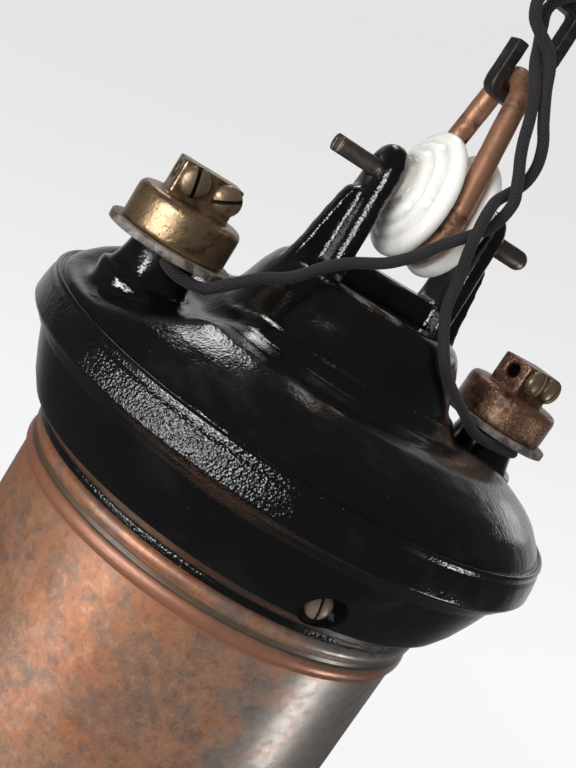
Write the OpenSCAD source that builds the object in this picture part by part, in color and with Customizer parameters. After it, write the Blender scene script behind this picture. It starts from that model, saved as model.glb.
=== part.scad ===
// Suspended arc street lamp: cast cap with clevis ears, porcelain spool,
// copper case, solenoid carbon feed and a glass globe.
// The lamp hangs along -Z. The origin is the centre of the hook's eye.
// Lamp heights below are measured from the fine raised line on the cap.

/* [Cap] */
// Largest diameter of the cap's rim
rim_d = 225; // [205:1:240]
// Distance of each terminal from the lamp's axis
terminal_x = 81; // [79:0.5:84]
// Height of the hanger pin above the raised line
pin_z = 92.4; // [90:0.2:96]
// Distance between the inner faces of the ears
ear_gap = 44; // [43:0.5:46]
// Thickness of each ear
ear_t = 8; // [7:0.5:10]

/* [Suspension] */
// Diameter of the copper hanger rod
rod_d = 8.8; // [7:0.2:9]
// Outer diameter of the porcelain spool
spool_d = 52; // [50:1:54]
// Diameter of the split hanger pin
pin_d = 6.8; // [6:0.1:7]
// Radius of the hook's eye
eye_r = 7; // [5:0.5:8]

/* [Case] */
// Outer diameter of the copper case
case_d = 173; // [168:1:175]
// Height of the copper case below the cap's lip
case_h = 276; // [268:2:300]
// Thickness of the copper sheet
case_t = 1.2; // [0.8:0.1:2]

/* [Globe] */
// Largest diameter of the outer globe
globe_d = 180; // [160:2:190]
// Height of the globe below the collar
globe_h = 205; // [190:5:230]

/* [Mechanism] */
// Diameter of the carbons
carbon_d = 12.7; // [11:0.1:12.9]
// Travel of the armature
lift = 20; // [10:1:22]

/* [Cord] */
// Diameter of each covered conductor
cord_d = 4.4; // [3.6:0.1:4.6]

/* [Hidden] */
$fn = 96;

// Colours
black_iron = "#17181a";
grey_iron = "#4a4d50";
copper = "#a2684a";
brass = "#a5824c";
bronze = "#a8704c";
porcelain = "#ecebe4";
fibre = "#76706b";
steel = "#8f9296";
carbon_black = "#232325";
cloth_black = "#1f1e21";
opal = "#dfe6ea";
rod_copper = "#9a5b3c";

// Heights from the raised line
eye_z = 205;
lip_z = -50.4;
case_top = -31;
case_bottom = lip_z - case_h;
floor_z = case_bottom;
floor_t = 6;
collar_bottom = floor_z - 40;
rim_r = rim_d / 2;
case_r = case_d / 2;
skirt_bore = case_r + 0.35;

// Suspension
rod_r = rod_d / 2;
groove_r = 20.5;
loop_top_r = 10.5;
loop_top_z = pin_z + 44.9;
loop_lean = asin((groove_r - loop_top_r) / (loop_top_z - pin_z));
hook_bar_top = loop_top_z + loop_top_r - rod_r - 0.3;
hook_bar_bottom = hook_bar_top - 6;
hook_half = 9.8;
hook_inner = 4.9;
hook_w = 8;
hook_tip = hook_bar_bottom + 22;
hook_beam = hook_bar_bottom + 39;
hook_beam_top = hook_beam + 9;
eye_outer = eye_r + 6;
pin_r = pin_d / 2;
pin_end = 45.5;

// Ears and tower
ear_in = ear_gap / 2;
ear_out = ear_in + ear_t;
ear_r = 11.5;
ear_foot = 15;
ear_round = 4.5;
tower_top = 51.5;
web_top = 60.5;
web_half = 7;
pocket_half = 16.5;

// Terminals
boss_top = 28.3;
washer_r = 24.4;
washer_t = 3;
post_r = 20.6;
post_z = boss_top + washer_t;
post_top = 46.5;
block_l = 24;
block_w = 15;
block_top = 60;
wire_r = 3;
wire_z = 54.5;
clamp_spacing = 13;
left_turn = -4;
right_turn = 22;
stud_r = 4.5;
bush_r = 7.9;

// Mechanism
carbon_r = carbon_d / 2;
arc_z = floor_z - 93;
carbon_len = 305;
rod_y = case_r - 22.5;
side_rod_r = 4;
plate_t = 4;
tube_r = 9.7;
tube_in = 8.4;
tube_top = -20;
plunger_in = tube_r + 0.5;
plunger_r = 16;
plunger_bottom = floor_z + 51.4;
plunger_top = plunger_bottom + 85;
tube_bottom = plunger_bottom + 25;
coil_bottom = floor_z + 96.4;
coil_top = coil_bottom + 80;
coil_r = case_r - 44.5;
bobbin_in = plunger_r + 0.8;
pot_x = 22.5 - case_r;
pot_r = 15;
pot_in = 13.2;
ballast_x = case_r - 24.5;
ballast_h = case_h - 46;
trip_top = floor_z + 25;
clutch_z = trip_top + 0.3;
frame_y = 38;
yoke_z = floor_z - 178;

// Globe
globe_r = globe_d / 2;
neck_r = 56;
collar_in = 60;
glass_t = 3;
globe_top = collar_bottom + 21;
globe_low = collar_bottom - globe_h;

// Routes of the two conductors, from terminal to cut end
left_route = [
    [-83.4, -13.9, 26], [-83.5, -16, 26], [-81, -18.5, 25], [-76, -20, 24.5], [-69, -22, 25.6],
    [-62, -24, 32], [-54, -25, 39], [-45, -25.5, 44.5], [-35, -24.5, 54], [-27, -24.5, 60],
    [-17, -26, 66], [-9, -27.5, 74], [-3.6, -28, 81.3], [0.1, -28.6, 85.7], [4, -28.7, 90],
    [6.6, -28.7, 93.1], [9.3, -28.7, 96], [10.3, -29.2, 100], [9.8, -31.5, 104.4], [9, -32.5, 108.9],
    [7, -31.6, 113.5], [5.7, -29.6, 118], [4.2, -27.5, 122.4], [2.5, -25.5, 128.3],
    [1, -23, 135.9], [-1.6, -20, 144.3], [-5, -15.2, 152.8], [-5.4, -10.6, 159.2],
    [-7, -8.2, 165.2], [-9, -7.7, 172], [-5, -7.5, 179], [3, -9.3, 186], [3, -9.3, 193],
    [3, -9.3, 203], [3.5, -9.5, 213]
];
right_route = [
    [85.1, -13.4, 26], [85.6, -15.5, 26], [83, -18.3, 26], [77.5, -19.5, 25.8], [67, -20.5, 25.5],
    [58, -22.5, 27], [50, -26.5, 30.5], [42.5, -31.5, 33.5], [36, -36, 36], [29, -39.5, 39],
    [22.5, -41.5, 42.5], [17, -41.5, 47.5], [13.5, -36.5, 55], [11, -31.5, 64], [9.5, -30.5, 74],
    [6.3, -31.5, 82.4], [4.1, -33, 88], [2.8, -33.4, 93.7], [2.5, -32.8, 99.6], [4.9, -29, 105],
    [8.7, -26.4, 109.4], [11.6, -25.8, 113.7], [13.1, -25.6, 118.3], [12.8, -25.5, 124.4],
    [10.2, -25, 131.1], [6.2, -23.5, 137.5], [2, -20.5, 146.6], [-0.7, -18.2, 154.1],
    [-4.9, -16.2, 159.5], [-10.4, -15.2, 162.3], [-14.6, -13.5, 165.8], [-16.5, -12.5, 172],
    [-12.5, -12, 179], [-3, -9.3, 186], [-3, -9.3, 193], [-3, -9.3, 203], [-3.5, -9.5, 213]
];

// Helpers
function arc_points(cx, cy, r, a0, a1, n) =
    [for (i = [0:n]) let (a = a0 + (a1 - a0) * i / n) [cx + r * cos(a), cy + r * sin(a)]];
function unit(v) = v / norm(v);
function tangent(p, i) =
    unit(p[min(i + 1, len(p) - 1)] - p[max(i - 1, 0)]);
function side_of(t, guide) = unit(guide - (guide * t) * t);
function frames(p, i, guide) =
    i == len(p) ? [] :
    let (t = tangent(p, i), u = side_of(t, guide))
    concat([[p[i], u, cross(t, u)]], frames(p, i + 1, u));

// Round tube swept along a list of points
module swept_tube(route, r, sides) {
    rings = frames(route, 0, [0.3, 0.2, 1]);
    n = len(route);
    points = [
        for (f = rings) for (k = [0:sides - 1])
            f[0] + r * (cos(360 * k / sides) * f[1] + sin(360 * k / sides) * f[2])
    ];
    walls = [
        for (i = [0:n - 2]) for (k = [0:sides - 1])
            let (a = i * sides + k, b = i * sides + (k + 1) % sides)
            [a, a + sides, b + sides, b]
    ];
    first = [for (k = [0:sides - 1]) k];
    last = [for (k = [sides - 1:-1:0]) (n - 1) * sides + k];
    polyhedron(points, concat([first], walls, [last]));
}

// Everything is drawn from the raised line, then hung from the eye
module hung() {
    translate([0, 0, -eye_z]) children();
}

// Cylinder along X between two stations
module x_cylinder(r, x0, x1, z) {
    translate([x0, 0, z]) rotate([0, 90, 0]) cylinder(r = r, h = x1 - x0);
}

// Flat tube of a given height
module ring(r_out, r_in, z0, z1) {
    translate([0, 0, z0])
        difference() {
            cylinder(r = r_out, h = z1 - z0);
            translate([0, 0, -1]) cylinder(r = r_in, h = z1 - z0 + 2);
        }
}

module both_sides() {
    for (s = [-1, 1]) translate([s * terminal_x, 0, 0]) children();
}

// Hook: a narrow forged C with an eye above it
module suspension_hook() {
    color(grey_iron) hung() {
        difference() {
            union() {
                rotate([90, 0, 0])
                    translate([0, 0, -hook_w / 2]) linear_extrude(hook_w) hook_outline();
                translate([0, 0, hook_beam_top - 1])
                    cylinder(r = 5, h = eye_z - eye_outer - hook_beam_top + 4);
                rotate([90, 0, 0])
                    translate([0, eye_z, -hook_w / 2]) cylinder(r = eye_outer, h = hook_w);
                rotate([90, 0, 90])
                    translate([0, 0, -hook_inner - 1]) linear_extrude(2 * hook_inner + 2) hook_crown();
            }
            rotate([90, 0, 0]) translate([0, eye_z, -hook_w]) cylinder(r = eye_r, h = 2 * hook_w);
        }
    }
}

// Rounded seat of the loop across the hook's bar
module hook_crown() {
    half = hook_w / 2;
    crown_r = half + 0.4;
    edge = acos(half / crown_r);
    polygon(concat(
        [[-half, hook_bar_bottom + 1], [half, hook_bar_bottom + 1]],
        arc_points(0, hook_bar_top - crown_r, crown_r, edge, 180 - edge, 8)
    ));
}

module hook_outline() {
    round_r = 5;
    difference() {
        union() {
            translate([-hook_half, hook_bar_bottom + round_r])
                square([2 * hook_half, hook_beam_top - hook_bar_bottom - round_r]);
            translate([-hook_half + round_r, hook_bar_bottom])
                square([2 * (hook_half - round_r), round_r + 1]);
            for (s = [-1, 1])
                translate([s * (hook_half - round_r), hook_bar_bottom + round_r]) circle(round_r);
        }
        translate([-hook_inner, hook_bar_top - 3]) square([2 * hook_inner, hook_beam - hook_bar_top + 3]);
        translate([-hook_half - 1, hook_tip]) square([hook_half + 2, hook_beam - hook_tip]);
    }
}

// Twine whipping that holds the pair against the hook's neck
module cord_tie() {
    tie_z = 188;
    tie_h = 3.6;
    color(cloth_black) hung()
        translate([0, 0, tie_z])
            linear_extrude(tie_h)
                difference() {
                    union() {
                        circle(7);
                        translate([-7, -9.3]) square([14, 9.3]);
                        translate([-3, -9.3]) circle(4);
                        translate([3, -9.3]) circle(4);
                    }
                    circle(5.05);
                    for (s = [-1, 1]) translate([s * 3, -9.3]) circle(cord_d / 2 + 0.05);
                }
}

// Closed loop of round copper rod that carries the spool
module hanger_loop() {
    leg_len = (loop_top_z - pin_z) * cos(loop_lean);
    color(rod_copper) hung() {
        loop_arc(pin_z, groove_r, 180 - loop_lean, 180 + 2 * loop_lean);
        loop_arc(loop_top_z, loop_top_r, loop_lean, 180 - 2 * loop_lean);
        for (s = [0, 180])
            rotate([0, 0, s])
                translate([0, groove_r * cos(loop_lean), pin_z + groove_r * sin(loop_lean)])
                    rotate([loop_lean, 0, 0])
                        translate([0, 0, -0.3]) cylinder(r = rod_r - 0.02, h = leg_len + 0.6);
    }
}

// Arc of rod in the YZ plane, from angle a0 over a span
module loop_arc(z, r, a0, span) {
    translate([0, 0, z])
        rotate([90, 0, 90])
            rotate([0, 0, a0])
                rotate_extrude(angle = span) translate([r, 0]) circle(rod_r, $fn = 48);
}

// Split pin: two half-round legs joined at a small round head
module hanger_pin() {
    slit = 0.7;
    color(steel) hung()
        difference() {
            union() {
                x_cylinder(pin_r, -pin_end - 2.5, pin_end - 3, pin_z);
                x_cylinder(pin_r + 0.7, ear_out + 2, pin_end - 1, pin_z);
                translate([pin_end - 1, 0, pin_z]) sphere(r = pin_r + 0.7, $fn = 48);
            }
            translate([-pin_end - 4, -slit / 2, pin_z - pin_r - 2])
                cube([pin_end + 4 + ear_out + 4, slit, 2 * pin_r + 4]);
            translate([-pin_end - 3, 0, pin_z - pin_r - 2]) cube([2.4, pin_r + 2, 2 * pin_r + 4]);
        }
}

// Porcelain spool with domed flanges and a groove for the loop
module porcelain_spool() {
    half = ear_in - 0.5;
    seat = groove_r;
    seat_r = rod_r + 0.3;
    flange = spool_d / 2;
    color(porcelain) hung()
        translate([0, 0, pin_z])
            rotate([0, 90, 0])
                rotate_extrude()
                    polygon(concat(
                        [[pin_r + 0.3, -half], [8.5, -half], [10, -half + 1.2], [10.6, -half + 4]],
                        [[16, -half + 6.5], [17, -half + 5.8], [18, -half + 6.8], [22.5, -half + 9.3]],
                        arc_points(flange - 3, -8.6, 3, -60, 90, 6),
                        arc_points(seat, 0, seat_r, 265, 95, 12),
                        arc_points(flange - 3, 8.6, 3, -90, 60, 6),
                        [[22.5, half - 9.3], [18, half - 6.8], [17, half - 5.8], [16, half - 6.5]],
                        [[10.6, half - 4], [10, half - 1.2], [8.5, half], [pin_r + 0.3, half]]
                    ));
}

// Outline of the cap, from the tower's top down to the lip
function cap_outer() = concat(
    [[0, tower_top], [33, tower_top]],
    arc_points(33, tower_top - 10, 10, 90, 18, 6),
    [[44.5, 41], [47, 33.5], [50, 27]],
    arc_points(60.5, 30, 8.5, 195, 268, 5),
    [[72, 21.6], [80, 20.2], [87, 17.4], [94, 14], [101, 9.6], [rim_r - 6.5, 4.6]],
    [[rim_r - 4, 1.2], [rim_r - 2.8, 1.1], [rim_r - 2.2, -0.4], [rim_r - 2, -1.6]],
    arc_points(rim_r - 9, -7.5, 9, 38, -30, 6),
    [[rim_r - 1.8, -13.2], [rim_r - 4.4, -16.4], [rim_r - 6.2, -17.6], [rim_r - 7.2, -19]],
    [[rim_r - 8.2, -22], [rim_r - 10.4, -28], [rim_r - 13.8, -36], [rim_r - 17.4, -42]],
    [[case_r + 5.2, -45.2], [case_r + 3, -47], [case_r + 3.2, -47.8]],
    [[case_r + 2.6, lip_z + 0.5], [case_r + 1.6, lip_z]]
);
function cap_inner() = [
    [skirt_bore, lip_z], [skirt_bore, case_top + 1], [case_r + 6, case_top + 5], [rim_r - 14, -22],
    [rim_r - 10, -10], [rim_r - 13, 0], [94, 6], [84, 10], [60, 13.5], [44, 13.5], [38, 30], [28, 36], [0, 36]
];

module boss() {
    rotate_extrude()
        polygon(concat(
            [[0, 8], [19, 8], [19, 19.6]],
            arc_points(20, 26.5, 6.8, 262, 180, 6),
            [[13.2, boss_top], [0, boss_top]]
        ));
}

// Cheek of the clevis: a tapered plate with rounded outer edges and a stiffening rib
module ear(s) {
    plate = ear_t - ear_round;
    lean = atan((ear_foot - ear_r) / (pin_z - 44));
    drop = pin_z - 42;
    translate([0, 0, pin_z]) {
        rotate([0, s * 90, 0])
            rotate_extrude()
                polygon(concat(
                    [[0, ear_in], [ear_r, ear_in], [ear_r, ear_in + plate]],
                    arc_points(ear_r - ear_round, ear_in + plate, ear_round, 15, 90, 5),
                    [[0, ear_out]]
                ));
        for (side = [-1, 1])
            rotate([side * lean, 0, 0])
                translate([0, 0, -drop])
                    linear_extrude(drop)
                        polygon([for (p = ear_section()) [s * (ear_in + p[0]), side * p[1]]]);
    }
    rotate([90, 0, 0])
        translate([0, 0, -4])
            linear_extrude(8)
                polygon([for (p = rib_points()) [s * p[0], p[1]]]);
}
function ear_section() =
    let (half = ear_r - 0.02, out = ear_t - 0.25, plate = out - ear_round)
    concat(
        [[0, -2], [out, -2]],
        arc_points(plate, half - ear_round, ear_round, 0, 75, 5),
        [[plate, half], [0, half]]
    );
function rib_points() = [
    [ear_out - 4, 84], [ear_out + 2, 83.4], [ear_out + 4.4, 81.6], [ear_out + 7, 68],
    [ear_out + 8.8, 57], [ear_out + 11, 49], [ear_out + 12, 44], [ear_out + 12, 38], [ear_out - 4, 38]
];

// Spot face that seats a case screw in the tapered skirt
module screw_seat(a) {
    rotate([0, 0, a])
        translate([0, 0, screw_z]) rotate([0, 90, 0]) {
            translate([0, 0, screw_face]) cylinder(r = 8, h = 40);
            translate([0, 0, case_r - 8]) cylinder(r = 2.5, h = 40);
        }
}
screw_angles = [-92, 28, 148];
screw_z = -36.4;
screw_face = case_r + 5.5;

module top_cap() {
    color(black_iron) hung()
        difference() {
            union() {
                difference() {
                    union() {
                        rotate_extrude() polygon(concat(cap_outer(), cap_inner()));
                        both_sides() boss();
                        for (s = [-1, 1])
                            translate([0, s * rod_y, -6]) cylinder(r = 9, h = 20);
                    }
                    for (s = [-1, 1])
                        translate([-ear_in, s > 0 ? web_half : -pocket_half, 43])
                            cube([2 * ear_in, pocket_half - web_half, 20]);
                }
                translate([-ear_in - 1, -web_half, 40]) cube([2 * ear_in + 2, 2 * web_half, web_top - 40]);
                for (s = [-1, 1]) ear(s);
            }
            x_cylinder(pin_r + 0.05, -60, 60, pin_z);
            both_sides() {
                translate([0, 0, -5]) cylinder(r = bush_r + 0.05, h = 40);
                translate([0, 0, -5]) cylinder(r = 14, h = 13);
            }
            for (s = [-1, 1])
                translate([0, s * rod_y, -7]) cylinder(r = side_rod_r + 0.05, h = 13);
            for (a = screw_angles) screw_seat(a);
        }
}

// Brass post with a wire clamp block on top
module terminal_post(turn) {
    difference() {
        union() {
            rotate_extrude()
                polygon(concat(
                    [[0, post_z], [post_r - 0.8, post_z], [post_r, post_z + 0.8]],
                    arc_points(post_r - 3, post_top - 3, 3, 0, 90, 5),
                    [[0, post_top]]
                ));
            rotate([0, 0, turn])
                translate([-block_l / 2, -block_w / 2, post_top - 1])
                    cube([block_l, block_w, block_top - post_top + 1]);
        }
        rotate([0, 0, turn]) {
            translate([0, 0, wire_z]) rotate([0, 90, 0])
                translate([0, 0, -block_l]) cylinder(r = wire_r, h = 2 * block_l);
            for (s = [-1, 1])
                translate([s * clamp_spacing / 2 + 0.8, -block_w, wire_z])
                    rotate([-90, 0, 0]) cylinder(r = 2.55, h = block_w);
        }
        translate([0, 0, post_z - 1]) cylinder(r = stud_r + 0.05, h = 12);
    }
}

module left_terminal() {
    color(brass) hung() translate([-terminal_x, 0, 0]) terminal_post(left_turn);
}

module right_terminal() {
    color(bronze) hung() translate([terminal_x, 0, 0]) terminal_post(right_turn);
}

module terminal_washers() {
    color(fibre) hung() both_sides() ring(washer_r, stud_r + 0.05, boss_top, post_z);
}

// Porcelain bushes that keep the studs clear of the iron
module terminal_bushings() {
    color(porcelain) hung() both_sides()
        difference() {
            union() {
                translate([0, 0, 4]) cylinder(r = bush_r, h = boss_top - 4);
                translate([0, 0, 2]) cylinder(r = 13, h = 6);
            }
            translate([0, 0, -1]) cylinder(r = stud_r + 0.05, h = 40);
        }
}

module terminal_studs() {
    color(brass) hung() both_sides()
        translate([0, 0, -12]) cylinder(r = stud_r, h = post_z + 10.9 + 12);
}

module terminal_nuts() {
    color(brass) hung() both_sides()
        difference() {
            translate([0, 0, -5]) cylinder(r = 9, h = 7, $fn = 6);
            translate([0, 0, -6]) cylinder(r = stud_r + 0.05, h = 9);
        }
}

// Round-head screw along +Y, its head at the near end
module round_screw(head_r, head_h, shank_r, length) {
    difference() {
        union() {
            rotate([-90, 0, 0]) cylinder(r = shank_r, h = length);
            rotate([90, 0, 0])
                rotate_extrude()
                    polygon(concat([[0, 0], [head_r, 0], [head_r, head_h * 0.35]],
                        [for (a = [15:15:75]) [head_r * cos(a), head_h * (0.35 + 0.65 * sin(a))]],
                        [[0, head_h]]));
        }
        translate([-0.7, -head_h - 1, -head_r - 1]) cube([1.4, 2.6, 2 * head_r + 2]);
    }
}

module clamp_screws(turn, tilts) {
    rotate([0, 0, turn])
        for (i = [0, 1])
            translate([(2 * i - 1) * clamp_spacing / 2 + 0.8, -block_w / 2 - 0.3, wire_z])
                rotate([0, tilts[i], 0]) round_screw(5.7, 4.4, 2.5, block_w / 2 - wire_r);
}

module left_clamp_screws() {
    color(brass) hung() translate([-terminal_x, 0, 0]) clamp_screws(left_turn, [-12, 62]);
}

module right_clamp_screws() {
    color(bronze) hung() translate([terminal_x, 0, 0]) clamp_screws(right_turn, [5, 20]);
}

// Copper case with two beads under the cap's lip and a rolled lower edge
module copper_case() {
    bead = concat(
        arc_points(case_r - 1.6, lip_z - 3.3, 3.2, 58, -50, 7),
        [[case_r + 0.1, lip_z - 6.8], [case_r + 0.1, lip_z - 8]],
        arc_points(case_r - 2.6, lip_z - 11.6, 4.2, 50, -52, 7)
    );
    roll = arc_points(case_r - 2.2, case_bottom + 22, 3.4, 60, -60, 6);
    inside = case_r - case_t;
    color(copper) hung()
        difference() {
            rotate_extrude()
                polygon(concat(
                    [[inside, case_top], [case_r, case_top], [case_r, lip_z - 0.5]],
                    bead,
                    [[case_r, lip_z - 15.3], [case_r, case_bottom + 26]],
                    roll,
                    [[case_r, case_bottom + 18], [case_r, case_bottom], [inside, case_bottom]]
                ));
            for (a = screw_angles)
                rotate([0, 0, a]) x_cylinder(2.5, case_r - 10, case_r + 10, screw_z);
        }
}

module case_screws() {
    color(bronze) hung()
        for (a = screw_angles)
            rotate([0, 0, a])
                translate([screw_face + 0.1, 0, screw_z])
                    rotate([0, 0, 90]) rotate([0, 35, 0]) round_screw(5.1, 3.4, 2.4, 11);
}

// Lower casting: floor of the case and collar of the globe
module base_casting() {
    lip = case_r + 0.4;
    color(black_iron) hung()
        difference() {
            rotate_extrude()
                polygon(concat(
                    [[10, floor_z - floor_t], [10, floor_z], [lip, floor_z], [lip, floor_z + 12]],
                    [[lip + 4, floor_z + 12], [lip + 5, floor_z + 9], [lip + 4.4, floor_z + 6]],
                    arc_points(lip - 3, floor_z - 2, 8, 25, -70, 7),
                    [[78, floor_z - 13], [72, floor_z - 18], [69, floor_z - 24]],
                    [[69, collar_bottom + 4], [71, collar_bottom + 3], [71, collar_bottom]],
                    [[collar_in, collar_bottom], [collar_in, floor_z - floor_t - 6], [54, floor_z - floor_t]]
                ));
            for (s = [-1, 1]) {
                translate([0, s * rod_y, floor_z - 20]) cylinder(r = side_rod_r + 0.05, h = 30);
                translate([0, s * rod_y, floor_z - 30]) cylinder(r = 8.5, h = 22);
                translate([0, s * frame_y, floor_z - 20]) cylinder(r = 3.05, h = 30);
            }
            translate([ballast_x, 0, floor_z - 5]) cylinder(r = 3.05, h = 10);
            for (a = globe_screw_angles)
                rotate([0, 0, a]) x_cylinder(3.05, 50, 80, globe_screw_z);
        }
}
globe_screw_angles = [-90, 30, 150];
globe_screw_z = collar_bottom + 10;

module side_rods() {
    color(steel) hung()
        for (s = [-1, 1])
            translate([0, s * rod_y, floor_z - floor_t - 12])
                cylinder(r = side_rod_r, h = 5 - (floor_z - floor_t - 12));
}

module nut(z, r, h, hole) {
    translate([0, 0, z])
        difference() {
            cylinder(r = r, h = h, $fn = 6);
            translate([0, 0, -1]) cylinder(r = hole, h = h + 2);
        }
}

module rod_nuts() {
    color(steel) hung()
        for (s = [-1, 1])
            translate([0, s * rod_y, 0]) nut(floor_z - 8 - 6.4, 7.4, 6.4, side_rod_r + 0.05);
}

// Plate on the side rods with a round hole in the middle
module bridge_plate(z, width, hole) {
    translate([0, 0, z])
        difference() {
            union() {
                translate([-width / 2, -rod_y, 0]) cube([width, 2 * rod_y, plate_t]);
                for (s = [-1, 1]) translate([0, s * rod_y, 0]) cylinder(r = width / 4 + 3, h = plate_t);
            }
            translate([0, 0, -1]) cylinder(r = hole, h = plate_t + 2);
            for (s = [-1, 1])
                translate([0, s * rod_y, -1]) cylinder(r = side_rod_r + 0.05, h = plate_t + 2);
        }
}

module top_plate() {
    color(fibre) hung() bridge_plate(tube_top - plate_t, 34, tube_r + 0.05);
}

module carbon_tube() {
    color(brass) hung() {
        ring(tube_r, tube_in, tube_bottom, tube_top);
        ring(14, tube_in, tube_top, tube_top + 4);
    }
}

module magnet_top_plate() {
    color(grey_iron) hung() bridge_plate(coil_top, 40, bobbin_in);
}

module magnet_bottom_plate() {
    color(grey_iron) hung()
        difference() {
            union() {
                bridge_plate(coil_bottom - plate_t, 40, bobbin_in + 0.2);
                translate([pot_x, 0, coil_bottom - plate_t])
                    difference() {
                        union() {
                            cylinder(r = 19, h = plate_t);
                            translate([0, -13, 0]) cube([-pot_x - 19.5, 26, plate_t]);
                        }
                        translate([0, 0, -1]) cylinder(r = 6, h = plate_t + 2);
                    }
            }
            translate([0, 0, coil_bottom - plate_t - 1]) cylinder(r = bobbin_in + 0.2, h = plate_t + 2);
        }
}

// Nuts that clamp the three plates on the side rods
module plate_nuts() {
    color(steel) hung()
        for (s = [-1, 1])
            translate([0, s * rod_y, 0]) {
                for (z = [tube_top - plate_t - 5, coil_top + plate_t, coil_bottom - plate_t - 5])
                    nut(z, 7.4, 5, side_rod_r + 0.05);
            }
}

module coil_bobbin() {
    color(brass) hung() {
        ring(bobbin_in + 2.2, bobbin_in, coil_bottom, coil_top);
        ring(coil_r + 3, bobbin_in, coil_bottom, coil_bottom + 3);
        ring(coil_r + 3, bobbin_in, coil_top - 3, coil_top);
    }
}

// Winding drawn as one body with shallow grooves between its turns
module coil_winding() {
    turns = 14;
    pitch = (coil_top - coil_bottom - 6) / turns;
    color(copper) hung()
        rotate_extrude()
            polygon(concat(
                [[bobbin_in + 2.2, coil_bottom + 3]],
                [for (i = [0:turns - 1]) for (k = [0, 0.3, 0.7, 1])
                    [coil_r - (k == 0 || k == 1 ? 1.6 : 0), coil_bottom + 3 + (i + k * 0.98 + 0.01) * pitch]],
                [[bobbin_in + 2.2, coil_top - 3]]
            ));
}

module armature() {
    color(steel) hung() ring(plunger_r, plunger_in, plunger_bottom, plunger_top);
}

// Brass yoke under the armature: carries the piston rod and the clutch
module lift_yoke() {
    color(brass) hung()
        difference() {
            translate([0, 0, plunger_bottom - 6]) {
                cylinder(r = 18, h = 6);
                translate([pot_x - 6, -5, 0]) cube([-pot_x, 10, 6]);
            }
            translate([0, 0, plunger_bottom - 7]) cylinder(r = plunger_in, h = 8);
            translate([pot_x, 0, plunger_bottom - 7]) cylinder(r = 3.05, h = 8);
        }
}

// Ring clutch that grips the carbon, on two straps
module clutch() {
    top = plunger_bottom - 6;
    color(brass) hung() {
        difference() {
            translate([0, 0, clutch_z]) cylinder(r = 15, h = 7);
            translate([0, 0, clutch_z - 1]) cylinder(r = carbon_r + 0.3, h = 9);
        }
        for (s = [-1, 1])
            translate([s * 13 - 1.5, -5, clutch_z + 6]) cube([3, 10, top - clutch_z - 6]);
    }
}

module dashpot_cylinder() {
    top = coil_bottom + 62;
    color(brass) hung() translate([pot_x, 0, 0]) {
        ring(pot_r, pot_in, coil_bottom, top);
        translate([0, 0, top - 0.01]) cylinder(r = pot_r, h = 3);
    }
}

module dashpot_piston() {
    color(steel) hung() translate([pot_x, 0, 0]) {
        translate([0, 0, plunger_bottom - 9]) cylinder(r = 3, h = coil_bottom + 14 - plunger_bottom + 9);
        translate([0, 0, coil_bottom + 12]) cylinder(r = pot_in - 0.15, h = 10);
    }
}

module upper_carbon() {
    color(carbon_black) hung()
        translate([0, 0, arc_z]) {
            cylinder(r1 = carbon_r - 3, r2 = carbon_r, h = 6, $fn = 48);
            translate([0, 0, 6]) cylinder(r = carbon_r, h = carbon_len - 6);
        }
}

// Contact cap that closes the top of the upper carbon inside its tube
module carbon_cap() {
    top = arc_z + carbon_len;
    color(brass) hung()
        difference() {
            translate([0, 0, top - 16]) cylinder(r = tube_in - 0.2, h = 22);
            translate([0, 0, top - 17]) cylinder(r = carbon_r + 0.05, h = 17);
        }
}

module ballast_core() {
    color(porcelain) hung() translate([ballast_x, 0, 0]) {
        ring(11, 3.2, floor_z, floor_z + ballast_h);
        ring(15, 3.2, floor_z, floor_z + 8);
        ring(15, 3.2, floor_z + ballast_h - 8, floor_z + ballast_h);
    }
}

// Resistance wire, drawn as a body with a ridge for each turn
module ballast_wire() {
    turns = 26;
    wound = ballast_h - 24;
    pitch = wound / turns;
    color(fibre) hung() translate([ballast_x, 0, floor_z + 12])
        rotate_extrude()
            polygon(concat(
                [[11, 0]],
                [for (i = [0:turns - 1]) for (k = [0, 0.3, 0.6, 0.9])
                    [k == 0.3 || k == 0.6 ? 13.2 : 11.8, (i + k + 0.05) * pitch]],
                [[11, wound]]
            ));
}

module ballast_bolt() {
    top = floor_z + ballast_h;
    color(steel) hung() translate([ballast_x, 0, 0]) {
        translate([0, 0, floor_z - 4.7]) cylinder(r = 3, h = top + 10 - floor_z + 4.7);
        nut(top, 6.4, 6, 2.9);
    }
}

// Bush that trips the clutch and guides the carbon through the floor
module trip_bush() {
    color(brass) hung() {
        ring(17, carbon_r + 0.8, floor_z, floor_z + 4);
        ring(12, carbon_r + 0.8, floor_z, trip_top);
        ring(9.95, carbon_r + 0.8, floor_z - floor_t - 4, floor_z);
    }
}

// Lid of the small inner globe
module gas_cap() {
    color(fibre) hung() {
        ring(31, carbon_r + 0.8, floor_z - floor_t - 10, floor_z - floor_t - 4);
        ring(25.6, carbon_r + 0.8, floor_z - floor_t - 13, floor_z - floor_t - 10);
    }
}

module frame_rods() {
    color(brass) hung()
        for (s = [-1, 1])
            translate([0, s * frame_y, 0]) {
                translate([0, 0, yoke_z - 9]) cylinder(r = 3, h = floor_z + 7 - yoke_z + 9);
                nut(floor_z, 6.4, 5, 2.9);
                nut(yoke_z - 8, 6.4, 5, 2.9);
            }
}

module lower_yoke() {
    color(brass) hung()
        difference() {
            translate([0, 0, yoke_z - 3]) {
                translate([-6, -frame_y, 0]) cube([12, 2 * frame_y, 6]);
                for (s = [-1, 1]) translate([0, s * frame_y, 0]) cylinder(r = 7, h = 6);
                cylinder(r = 14, h = 6);
            }
            for (s = [-1, 1]) translate([0, s * frame_y, yoke_z - 5]) cylinder(r = 3.05, h = 10);
            translate([0, 0, yoke_z - 5]) cylinder(r = 6.05, h = 10);
        }
}

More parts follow.
